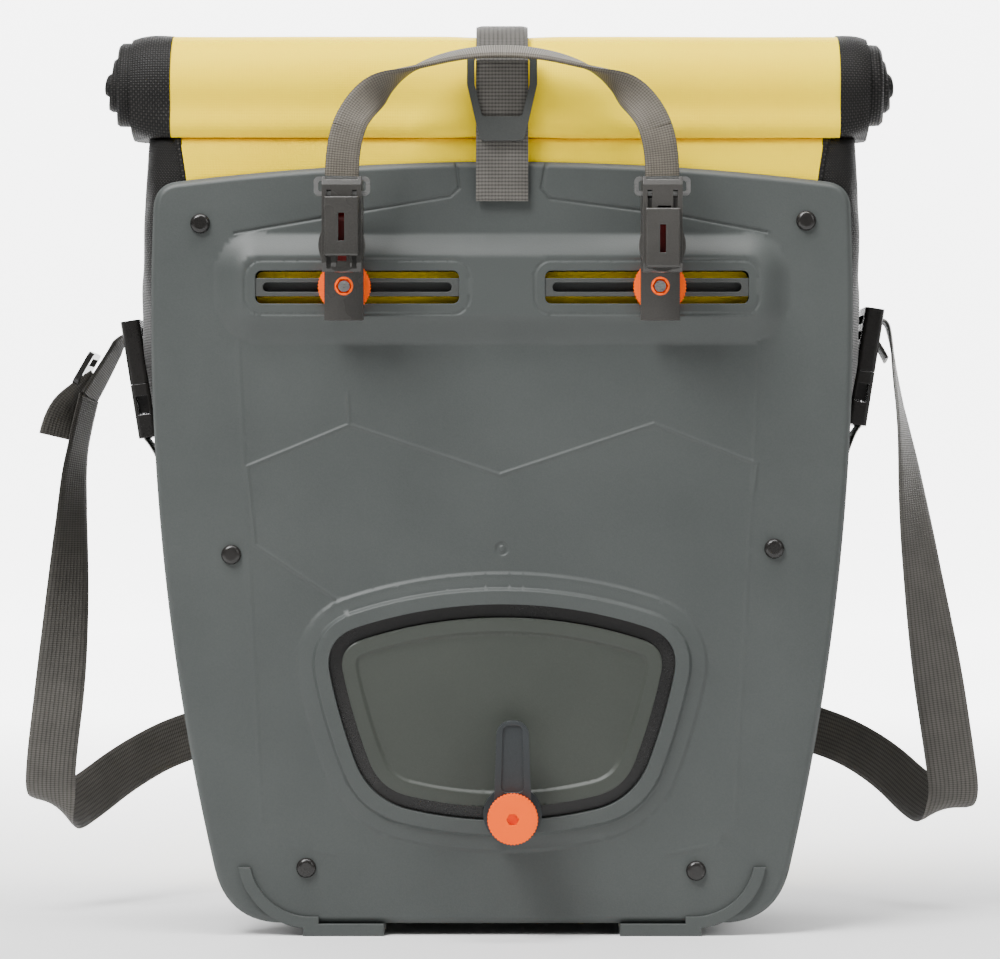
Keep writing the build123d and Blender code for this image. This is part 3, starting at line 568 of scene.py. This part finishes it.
def island_relief(x, z):
    """Face of the island inside the track: rounded edge and a shallow recess."""
    inset = line_distance(x, z, ISLAND_OUTLINE, closed=True)
    edge = np.clip(inset / 1.0, 0, 1)
    rise = -1.0 * (1 - np.sqrt(np.maximum(0, 1 - (1 - edge) ** 2)))
    return rise - 1.3 * eased((inset - 6.0) / 2.2)


def beside(line, offsets, step=1.6):
    """Points along a line and beside it, to carry a narrow ridge."""
    found = []
    for (ax, az), (bx, bz) in zip(line, line[1:]):
        length = math.hypot(bx - ax, bz - az)
        nx, nz = -(bz - az) / length, (bx - ax) / length
        for t in np.linspace(0, 1, max(2, int(length / step))):
            for offset in offsets:
                found.append((ax + (bx - ax) * t + nx * offset, az + (bz - az) * t + nz * offset))
    return found


def within(x, z, outline, holes, clearance=0.0):
    """Whether points lie on the plate, and farther than clearance from all its edges."""
    wanted = is_inside(x, z, outline)
    for hole in holes:
        wanted &= ~is_inside(x, z, hole)
    if clearance:
        for loop in (outline, *holes):
            wanted &= line_distance(x, z, loop, closed=True) > clearance
    return wanted


def triangulate(outline, holes, seeds):
    """The plate's points and its triangles between outline and holes, with seeds as inner points."""
    loops = [outline, *holes]
    flat = [tuple(p) for loop in loops for p in loop]
    edges, first = [], 0
    for loop in loops:
        edges += [(first + k, first + (k + 1) % len(loop)) for k in range(len(loop))]
        first += len(loop)
    seeds = np.array(seeds)
    flat += [tuple(p) for p in seeds[within(seeds[:, 0], seeds[:, 1], outline, holes, 0.3)]]
    made = delaunay_2d_cdt([Vector(p) for p in flat], edges, [], 0, 1e-4)
    spots = np.array([v[:] for v in made[0]])
    triangles = np.array(made[2])
    centre = spots[triangles].mean(axis=1)
    return spots, triangles[within(centre[:, 0], centre[:, 1], outline, holes)]


def wall_directions(loop, is_hole):
    """Which way the wall at each point of a closed outline faces, in x and z."""
    ahead = np.roll(loop, -1, axis=0) - np.roll(loop, 1, axis=0)
    side = np.stack([ahead[:, 1], -ahead[:, 0]], axis=1)
    inward = np.sum(side * (loop - loop.mean(axis=0)), axis=1) < 0
    side[inward] *= -1
    return -side if is_hole else side


def relief_piece(name, outline, holes, seeds, relief, front_y, back_y, material):
    """A moulded plate: its relief as a fine mesh, with walls at its outline and holes."""
    spots, triangles = triangulate(outline, holes, seeds)
    x, z = spots[:, 0], spots[:, 1]
    level = relief(x, z)
    slope_x = (relief(x + 0.1, z) - relief(x - 0.1, z)) / 0.2
    slope_z = (relief(x, z + 0.1) - relief(x, z - 0.1)) / 0.2
    normals = np.stack([-slope_x, -np.ones(len(x)), -slope_z], axis=1)
    points = [(px, front_y - rise, pz) for px, pz, rise in zip(x, z, level)]
    count = len(points)
    points += [(px, back_y, pz) for px, pz in zip(x, z)]
    normals = [tuple(n) for n in normals] + [(0.0, 1.0, 0.0)] * count
    faces = []
    for a, b, c in triangles:
        (ax, az), (bx, bz), (cx, cz) = spots[a], spots[b], spots[c]
        if (bx - ax) * (cz - az) - (bz - az) * (cx - ax) < 0:
            b, c = c, b
        faces += [(int(a), int(b), int(c)), (int(count + a), int(count + c), int(count + b))]
    for loop in (outline, *holes):
        start, size = len(points), len(loop)
        rises = relief(loop[:, 0], loop[:, 1])
        for (px, pz), rise, (sx, sz) in zip(loop, rises, wall_directions(loop, loop is not outline)):
            points += [(px, front_y - rise, pz), (px, back_y, pz)]
            normals += [(sx, 0.0, sz)] * 2
        for k in range(size):
            n = (k + 1) % size
            faces.append((start + 2 * k, start + 2 * k + 1, start + 2 * n + 1, start + 2 * n))
    piece = add_mesh(name, points, faces, material, sharp=180)
    piece.data.normals_split_custom_set_from_vertices(
        [Vector(n).normalized() for n in normals])
    return piece


def grid_seeds(x0, x1, z0, z1, step):
    return [(x, z) for x in np.arange(x0, x1, step) for z in np.arange(z0, z1, step)]


def make_plate():
    """The plate with its boss and ring, and the island, with points set close where they bend."""
    seeds = grid_seeds(-170, 170, 5, 372, 6.0) + grid_seeds(-139, 139.5, 283, 340, 2.3)
    for inset in (0.35, 0.9, 1.7, 2.6, 3.5, 5.0):
        seeds += list(plate_loop(-inset, 2.0))
    for grow in (7.2, 9.5, 12.6, 13.1, 13.6, 14.2, 14.8, 16.5, 18.5, 20.3, 20.9, 21.5, 22.1, 22.8, 25):
        seeds += list(island_loop(grow, 2.2))
    for side in (-1, 1):
        for grow in (0.8, 3.6, 4.4, 5.0, 5.6, 6.4):
            seeds += beside(slot_loop(side, grow), (0,), 1.6)
    for line in HEX_LINES + WING_LINES:
        seeds += beside(line, (-1.9, -1.1, -0.55, 0, 0.55, 1.1, 1.9), 1.3)
    for line in PANEL_LINES:
        seeds += beside(line, (-1.8, -0.9, 0, 0.9, 1.8), 4)
    for radius in (0.8, 1.5, 2, 2.8, 3.2, 3.8, 4.4):
        seeds += [(GATE_MARK[0] + radius * math.cos(a), GATE_MARK[1] + radius * math.sin(a))
                  for a in np.linspace(0, 2 * math.pi, 30)]
    holes = [island_loop(GROOVE_WIDTH), slot_loop(-1), slot_loop(1)]
    plate = relief_piece("plate_face", plate_loop(), holes, seeds, plate_relief, PLATE_FRONT,
                         PANEL_BACK - 0.2, GREY)
    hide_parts("back_plate", "rail_boss", "track_rim")
    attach(plate, "root")
    seeds = grid_seeds(-84, 84, 60, 154, 5.0)
    for inset in (0.3, 0.7, 1.1, 5.8, 6.4, 7.0, 7.6, 8.3, 9):
        seeds += list(island_loop(-inset, 2.2))
    island = relief_piece("island_face", island_loop(), [], seeds, island_relief,
                          PLATE_FRONT - RING_RISE, PANEL_BACK - 0.2, ISLAND_GREY)
    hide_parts("track_island")
    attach(island, "root")


def make_rail_slit_shade():
    """Dark strip seen through each rail's slit, behind the sliding nut: painted shade in the channel,
    not a real wall.
    """
    near, far, low, high = SLOT_NEAR + 1.4, SLOT_FAR - 2, RAIL_Z - 3, RAIL_Z + 3
    outline = ((near, low), (far, low), (far, high), (near, high))
    for side, name in ((-1, "left"), (1, "right")):
        points = [(side * x, y, z) for y in SLIT_SHADE_FACES for x, z in outline]
        faces = grid_faces(2, 4, closed=True) + [(3, 2, 1, 0), (4, 5, 6, 7)]
        # painted shade: a dark strip where the inside of the slit would lie in shadow
        shade_strip = add_mesh("rail_slit_shade_" + name, points, faces, RAIL_DARK)
        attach(shade_strip, "root")


make_plate()
make_rail_slit_shade()


# ------------------------------------------------------------------ bag body
FACE_COLUMNS, GUSSET_COLUMNS = 42, 34
ABOVE_PLATE = 38               # first row of the body's grid whose rack-side seams are bound


def bag_ring(z):
    """Outline of the filled bag at a height: outer panel, right gusset, back panel, left gusset."""
    marks = [s[0] for s in BAG_SECTIONS]
    half, face, radius = (np.interp(z, marks, [s[k] for s in BAG_SECTIONS]) for k in (1, 2, 3))
    seam = SEAM_BOTTOM_HALF + (SEAM_TOP_HALF - SEAM_BOTTOM_HALF) * z / NECK_Z
    back = PANEL_BACK
    turn = np.radians(np.linspace(0, 90, 7))
    front_corner = [(half - radius + radius * math.sin(a), face - radius + radius * math.cos(a))
                    for a in turn]
    back_corner = [(half - radius + radius * math.cos(a), back + radius - radius * math.sin(a))
                   for a in turn]
    side = np.array([(min(seam, half - radius), face), *front_corner, *back_corner,
                     (min(seam, half - radius), back)])
    runs = along_lengths(side)
    marks = np.linspace(0, runs[-1], GUSSET_COLUMNS + 1)
    right = np.stack([np.interp(marks, runs, side[:, k]) for k in (0, 1)], axis=1)
    seam = right[0, 0]
    share = np.linspace(-1, 1, FACE_COLUMNS + 1)
    front = np.stack([share * seam, np.full(len(share), face)], axis=1)
    rear = np.stack([-share * seam, np.full(len(share), back)], axis=1)
    left = right[::-1] * (-1, 1)
    ring = np.concatenate([front[:-1], right[:-1], rear[:-1], left[:-1]])
    return np.column_stack([ring, np.full(len(ring), z)])


def make_bag_grid():
    """The body as rows of points from the base to the neck, then two rows tucked into the roll."""
    heights = np.concatenate([[6, 9, 14], np.linspace(22, NECK_Z, 48)])
    rings = [bag_ring(z) for z in heights]
    for share, rise in ((0.35, 1.0), (0.85, 1.5)):
        tucked = bag_ring(NECK_Z)
        tucked[:, 1] += (ROLL_Y - tucked[:, 1]) * share
        tucked[:, 2] += rise
        rings.append(tucked)
    return np.array(rings)


def inflate(grid, frames=20, cap=3.0):
    """Cloth simulation of the filled bag, held where it is fastened; returns the moved points."""
    rows, columns = grid.shape[:2]
    mesh = bpy.data.meshes.new("bag_cloth")
    mesh.from_pydata([tuple(p * MM) for p in grid.reshape(-1, 3)], [],
                     turned_faces(rows, columns, closed=True))
    cloth_body = bpy.data.objects.new("bag_cloth", mesh)
    bpy.context.scene.collection.objects.link(cloth_body)
    held = cloth_body.vertex_groups.new(name="held")     # weight 1 stays put, 0.25 gives a little
    seam_columns = (0, FACE_COLUMNS, FACE_COLUMNS + GUSSET_COLUMNS,
                    2 * FACE_COLUMNS + GUSSET_COLUMNS)
    for r in range(rows):
        for c in range(columns):
            fixed = r < 3 or r > rows - 4 or grid[r, c, 1] < PANEL_BACK + 2
            weight = 1.0 if fixed else 0.25 if c in seam_columns else 0.0
            if weight:
                held.add([r * columns + c], weight, "REPLACE")
    cloth = cloth_body.modifiers.new("cloth", "CLOTH")
    cloth.settings.vertex_group_mass = "held"
    cloth.settings.use_pressure = True
    cloth.settings.uniform_pressure_force = 3.0
    cloth.settings.tension_stiffness = 25
    cloth.settings.bending_stiffness = 1.5
    cloth.settings.quality = 5
    cloth.settings.effector_weights.gravity = 0
    cloth.collision_settings.use_collision = False
    scene = bpy.context.scene
    scene.frame_start, scene.frame_end = 1, frames
    for step in range(1, frames + 1):
        scene.frame_set(step)
    final = cloth_body.evaluated_get(bpy.context.evaluated_depsgraph_get()).to_mesh()
    found = np.array([v.co[:] for v in final.vertices]).reshape(grid.shape) / MM
    bpy.data.objects.remove(cloth_body)
    scene.frame_set(1)
    move = found - grid
    size = np.linalg.norm(move, axis=2, keepdims=True)
    strapped = 1 - 0.7 * np.exp(-(grid[..., :1] / 22) ** 2)     # less room under the closure strap
    return grid + move * np.minimum(1, cap * strapped / np.maximum(size, 1e-6))


def crumple(grid):
    """Shallow folds of a packed bag: none at the plate, most on the gussets and near the neck."""
    x, y, z = grid[..., 0], grid[..., 1], grid[..., 2]
    below_neck = eased((NECK_Z - z) / 18)
    free = eased((y - PANEL_BACK - 3) / 25) * below_neck
    near_neck = eased((z - 290) / 60)
    side = eased((np.abs(x) - 120) / 40)
    folds = (wobble((x * 0.6, y * 1.4, z * 0.5), 34, 0.7) - 0.6) * (1.5 + 1.6 * near_neck + side)
    fine = (wobble((x, y * 1.5, z * 1.2), 13, 2.1) - 0.5) * (0.5 + 0.5 * side)
    outward = unit(np.stack([x / 170, (y - 15) / 95, np.zeros_like(z)], axis=2))
    rolled_in = -4.5 * side * eased((z - 330) / 50) * np.exp(-((y + 30) / 30) ** 2) * below_neck
    return grid + outward * ((folds + fine) * free + rolled_in)[..., None]


def panel(name, grid, first, count, material, slot, *replaced):
    """One sewn panel: its share of the body's columns, made finer by one subdivision."""
    columns = [(first + k) % grid.shape[1] for k in range(count + 1)]
    part = grid[:, columns]
    across = np.linalg.norm(np.diff(part, axis=1), axis=2).mean(axis=0)
    u = np.concatenate([[0], np.cumsum(across)])
    v = np.concatenate([[0], np.cumsum(np.linalg.norm(np.diff(part, axis=0), axis=2).mean(axis=1))])
    uv = [(a * MM, b * MM) for b in v for a in u]
    piece = add_mesh(name, part.reshape(-1, 3), turned_faces(len(grid), count + 1), material,
                     uv, sharp=180)
    finer = piece.modifiers.new("finer", "SUBSURF")
    finer.levels = finer.render_levels = 1
    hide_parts(*replaced)
    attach(piece, "root")


def make_seam(name, line, radius=1.5):
    """Sewn binding along a seam."""
    path = spline([tuple(p) for p in line], 4)
    lengths = along_lengths(path)
    ahead = unit(np.gradient(path, axis=0))
    side = unit(np.cross(ahead, (0, 1, 0)))
    up = np.cross(side, ahead)
    points, uv = [], []
    for k, centre in enumerate(path):
        for j in range(8):
            a = j * math.pi / 4
            points.append(centre + radius * (side[k] * 1.6 * math.cos(a) + up[k] * 0.75 * math.sin(a)))
            uv.append((j * 0.0012, lengths[k] * MM))
    piece = add_mesh(name, points, grid_faces(len(path), 8, closed=True), FABRIC, uv)
    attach(piece, "root")


def make_base(grid):
    """Underside of the bag, closing the lowest ring."""
    ring = grid[0]
    centre = ring.mean(axis=0)
    rows, columns = 9, len(ring)
    points = np.array([ring * (1 - t) + centre * t for t in np.linspace(0, 0.96, rows)])
    points[1:, :, 2] += 0.4
    uv = [(p[0] * MM, p[1] * MM) for p in points.reshape(-1, 3)]
    faces = grid_faces(rows, columns, closed=True)
    faces.append(tuple(range((rows - 1) * columns, rows * columns))[::-1])
    piece = add_mesh("base_underside", points.reshape(-1, 3), faces, FABRIC, uv)
    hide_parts("base_panel")
    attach(piece, "root")


def make_bag():
    grid = make_bag_grid()
    grid = inflate(grid)
    grid = crumple(grid)
    grid[..., 1] = np.maximum(grid[..., 1], PANEL_BACK + 0.05)
    face, side = FACE_COLUMNS, GUSSET_COLUMNS
    panel("outer_panel", grid, 0, face, YELLOW, "tarpaulin_yellow", "front_panel")
    panel("gusset_right", grid, face, side, FABRIC, "woven_black", "right_gusset")
    panel("rack_side_panel", grid, face + side, face, YELLOW, "tarpaulin_yellow", "back_panel")
    panel("gusset_left", grid, 2 * face + side, side, FABRIC, "woven_black", "left_gusset")
    make_seam("seam_outer_left", grid[:, 0])
    make_seam("seam_outer_right", grid[:, face])
    make_seam("seam_rack_right", grid[ABOVE_PLATE:, face + side] + (0, 0.6, 0), 1.2)
    make_seam("seam_rack_left", grid[ABOVE_PLATE:, 2 * face + side] + (0, 0.6, 0), 1.2)
    make_base(grid)


make_bag()


# ------------------------------------------------------------------ rolled closure
FRONT_Y, FRONT_DROP = -66.0, 4.0
SAG_ANGLE, TOP_ANGLE = 224, 90


def slackened(a, sag, pressed):
    """Change of the roll's radius: hanging out low at the front, pressed flatter on top."""
    angle = math.degrees(a)
    return (sag * math.exp(-((angle - SAG_ANGLE) / 15) ** 2)
            - pressed * math.exp(-((angle - TOP_ANGLE) / 50) ** 2))


def roll_rings(x_places, radius_at, turns=96):
    """Rings of the roll, flat where they rest on the neck and hanging lower in front of it."""
    rings = []
    for x in x_places:
        ring = []
        for a in np.linspace(0, 2 * math.pi, turns, endpoint=False):
            r = radius_at(x, a)
            y, z = ROLL_Y + r * math.cos(a), ROLL_Z + r * math.sin(a)
            rest = NECK_Z + 0.3 - FRONT_DROP * float(eased((FRONT_Y - y) / 3.5))
            ring.append((x, y, max(z, rest)))
        rings.append(ring)
    return np.array(rings)


def tarp_radius(x, a):
    """Slightly uneven roll, drawn in under the closure strap."""
    drawn = 1.2 * math.exp(-(x / 17) ** 2)
    swell = float(wobble((x * 0.35, 28 * math.cos(a), 28 * math.sin(a)), 40, 0.3))
    fine = float(wobble((x * 0.5, 28 * math.cos(a), 28 * math.sin(a)), 12, 1.7))
    return ROLL_RADIUS - 0.4 - drawn + 0.55 * swell + 0.12 * fine + slackened(a, 7.5, 3.2)


def make_roll():
    x_places = np.linspace(ROLL_LEFT, ROLL_RIGHT, 90)
    rings = roll_rings(x_places, tarp_radius)
    rows, columns = rings.shape[:2]
    uv = [(x * MM, j * 2 * math.pi * ROLL_RADIUS / columns * MM) for x in x_places
          for j in range(columns)]
    roll = add_mesh("roll_tarpaulin", rings.reshape(-1, 3), turned_faces(rows, columns, closed=True),
                    YELLOW, uv, sharp=60)
    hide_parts("roll_top")
    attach(roll, "root")


def make_roll_end(name, side, start, edge, tip, node):
    """Fabric wound into a roll end: an outer band and a spiral whose folds step outward."""
    def band_radius(x, a):
        reach = abs(x - start) / abs(edge - start)
        uneven = float(wobble((x * 1.2, 30 * math.cos(a), 30 * math.sin(a)), 14, side))
        return (ROLL_RADIUS + 0.3 - 2.5 * reach ** 3 + 0.8 * uneven
                + slackened(a, 6.5 * (1 - 0.6 * reach), 3.0))

    x_places = np.linspace(start, edge, 16)
    band = roll_rings(x_places, band_radius)
    rim = [band[-1] * (1 - t) + np.array([edge + side * 1.5 * t, ROLL_Y, ROLL_Z]) * t
           for t in (0.02, 0.06, 0.12)]
    band = np.concatenate([band, np.array(rim)])
    rows, columns = band.shape[:2]
    uv = [(r * 1.4 * MM, j * 1.85 * MM) for r in range(rows) for j in range(columns)]
    wound = grid_faces if side < 0 else turned_faces
    outer = add_mesh(name, band.reshape(-1, 3), wound(rows, columns, closed=True), FABRIC,
                     uv)
    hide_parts(node)
    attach(outer, "root")
    make_roll_folds(name + "_folds", side, start, edge, tip)


def make_roll_folds(name, side, start, edge, tip):
    """The wound layers seen at the roll's end: one spiral strip with a rolled outer lip."""
    points, uv = [], []
    turns, count, across = 2.6, 150, 9
    for k in range(count):
        share = k / (count - 1)
        a = 2 * math.pi * turns * share + 0.9
        r = 21.5 - 17.5 * share + 1.3 * math.sin(2 * a + side) * (1 - share)
        reach = edge + (tip - edge) * (0.35 + 0.65 * share ** 0.6) + side * 0.7 * math.sin(1.3 * a)
        for j in range(across):
            t = j / (across - 1)
            lip = 1.4 * math.sin(math.pi * t)
            x = start + side * 4 + (reach - start - side * 4) * min(1, t * 1.25)
            r_here = r - 2.1 * (t - 0.8) / 0.2 if t > 0.8 else r + 0.35 * lip
            z = max(ROLL_Z + r_here * math.sin(a), NECK_Z + 0.8)
            points.append((x, ROLL_Y + r_here * math.cos(a), z))
            uv.append((abs(x) * MM, (26 - 11 * share) * a * MM))
    spiral = add_mesh(name, points, grid_faces(count, across), FABRIC, uv, sharp=70)
    thick = spiral.modifiers.new("thick", "SOLIDIFY")
    thick.thickness = 1.3 * MM
    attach(spiral, "root")


make_roll()
make_roll_end("roll_wrap_left", -1, ROLL_LEFT, -179, -193, "roll_end_left")
make_roll_end("roll_wrap_right", 1, ROLL_RIGHT, 177, 189, "roll_end_right")


# ------------------------------------------------------------------ closure strap and handle
def make_closure():
    """Closure strap up the outer face and over the roll, and its tail below the ladder lock."""
    rise = [(108.6, 58), (109.6, 68), (117.4, 80), (117.4, 112), (112.4, 126), (112.0, 180),
            (111.0, 240), (106.0, 290), (91.4, 321), (58.5, 346.2), (13, 366.6), (-7, 381)]
    reach = ROLL_RADIUS + 1.4
    over = [(ROLL_Y + reach * math.cos(math.radians(a)), ROLL_Z + reach * math.sin(math.radians(a)))
            for a in range(-15, 181, 15)]
    path = spline([(0, y, z) for y, z in rise + over], 8)
    strap = ribbon("closure_webbing", path, constant((1, 0, 0), len(path)), WEB_WIDTH, WEB_THICK,
                   STRAP)
    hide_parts("closure_strap")
    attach(strap, "root")
    low = [(-77.4, 419.5), (-77.9, 409), (-77.6, 396), (-76.2, 387), (-75.9, 372), (-75.8, 362),
           (-75.8, 352.4)]
    path = spline([(0, y, z) for y, z in low], 10)
    tail = ribbon("closure_tail_webbing", path, constant((1, 0, 0), len(path)), WEB_WIDTH,
                  WEB_THICK, PICKED)
    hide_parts("closure_tail")
    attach(tail, "root")


def make_handle():
    """Carry handle: each half from its hook's foot to the middle, and each end below the foot."""
    path = spline(HANDLE_POINTS, 12)
    shares = along_lengths(path) / along_lengths(path)[-1]
    across = directions([(0, (1, 0, 0)), (0.12, (1, 0, 0)), (0.24, (0.75, 0.6, 0.2)),
                         (0.36, (0.35, 1, 0.4)), (0.5, (0, 1, 0.42)), (0.64, (-0.35, 1, 0.4)),
                         (0.76, (-0.75, 0.6, 0.2)), (0.88, (-1, 0, 0)), (1, (-1, 0, 0))], shares)
    middle = len(path) // 2
    foot = int(np.argmax(path[:, 2] > HANDLE_FOOT_Z))
    for name, side, part, end in (
            ("left", -1, slice(foot, middle + 1), slice(0, foot + 1)),
            ("right", 1, slice(middle, len(path) - foot), slice(len(path) - foot - 1, len(path)))):
        half = ribbon(f"handle_{name}_half", path[part], across[part], HANDLE_WIDTH, HANDLE_THICK,
                      RIBBED)
        grip = ribbon(f"handle_{name}_end", path[end], across[end], HANDLE_WIDTH, HANDLE_THICK,
                      RIBBED)
        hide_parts("carry_handle")
        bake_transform(half)
        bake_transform(grip)


make_closure()
make_handle()


def make_tabs():
    """Webbing tabs that tie the buckles to the gussets."""
    for side, name, x, z in ((-1, "left", 181.4, 269.7), (1, "right", 182.0, 276.0)):
        outline = [(168.5, 214), (171.5, 228), (x - 5.2, z - 33), (x - 1.5, z - 29), (x - 3.6, z - 23),
                   (x - 8.2, z - 27), (172.0, 236), (169.2, 221)]
        path = spline([(side * px, 12, pz) for px, pz in outline], 8)
        tab = ribbon("tab_" + name, path, constant((0, 1, 0), len(path)), WEB_WIDTH, WEB_THICK,
                     STRAP)
        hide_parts("buckle_tab_" + name)
        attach(tab, "root")


make_tabs()


# ------------------------------------------------------------------ materials of kept CAD nodes
def finish_cad_nodes():
    for name, node in nodes.items():
        slot = node.data.materials[0].name.split(".")[0]
        node.data.materials[0] = SLOT_MATERIALS.get(slot) or node.data.materials[0]
    nodes["anchor_arm"].data.materials[0] = COOL_DARK
    nodes["track_floor"].data.materials[0] = BLACK
    for name in ("rail_left", "rail_right", "ladder_lock"):
        nodes[name].data.materials[0] = RAIL_DARK


finish_cad_nodes()


# ------------------------------------------------------------------ stage and light
def stage_material():
    material, tree, shader = start_material("pale_floor", Roughness=0.9)
    place = add(tree, "TexCoord").outputs["Object"]
    colour = blend_colours(tree, noise(tree, place, 3, 2), (0.76, 0.76, 0.76, 1), (0.8, 0.8, 0.8, 1))
    finish_material(tree, shader, colour)
    behind = add(tree, "SeparateXYZ", Vector=place).outputs["Y"]
    glow = add(tree, "MapRange", Value=behind, From_Min=0.0, From_Max=1.5, To_Min=0.0, To_Max=4.6)
    tree.links.new(glow.outputs["Result"], shader.inputs["Emission Strength"])
    shader.inputs["Emission Color"].default_value = (1, 1, 1, 1)
    return material


def make_stage():
    """Floor running up into a backdrop."""
    profile = [(-6.0, 0.0), (3.4, 0.0)]
    profile += [(3.4 + 1.2 * math.sin(a), 1.2 - 1.2 * math.cos(a))
                for a in np.radians(np.linspace(7.5, 90, 12))]
    profile.append((4.6, 5.0))
    mesh = bpy.data.meshes.new("studio")
    points = [(x, y, z) for y, z in profile for x in (-6.0, 6.0)]
    mesh.from_pydata(points, [], grid_faces(len(profile), 2))
    mesh.materials.append(stage_material())
    mesh.shade_smooth()
    studio = bpy.data.objects.new("studio", mesh)
    bpy.context.scene.collection.objects.link(studio)


def area_light(name, place, target, width, height, power):
    light = bpy.data.lights.new(name, "AREA")
    light.shape = "RECTANGLE"
    light.size, light.size_y = width, height
    light.energy = power
    lamp = bpy.data.objects.new(name, light)
    lamp.location = place
    way = Vector(target) - Vector(place)
    lamp.rotation_euler = way.to_track_quat("-Z", "Y").to_euler()
    bpy.context.scene.collection.objects.link(lamp)


def make_lights():
    area_light("key", (-1.0, -1.3, 2.1), (0, 0, 0.25), 1.0, 1.0, 92)
    area_light("fill", (1.8, -1.7, 1.3), (0, 0, 0.22), 1.0, 1.0, 14)
    area_light("top", (0, -0.35, 1.7), (0, 0, 0.3), 1.4, 0.5, 32)
    area_light("rear", (0.4, 1.6, 1.5), (0, 0, 0.25), 1.4, 1.0, 6)
    world = bpy.data.worlds.new("studio_world")
    bpy.context.scene.world = world
    world.use_nodes = True
    background = next(n for n in world.node_tree.nodes if n.type == "BACKGROUND")
    background.inputs["Color"].default_value = (1, 1, 1, 1)
    background.inputs["Strength"].default_value = 0.12


make_stage()
make_lights()
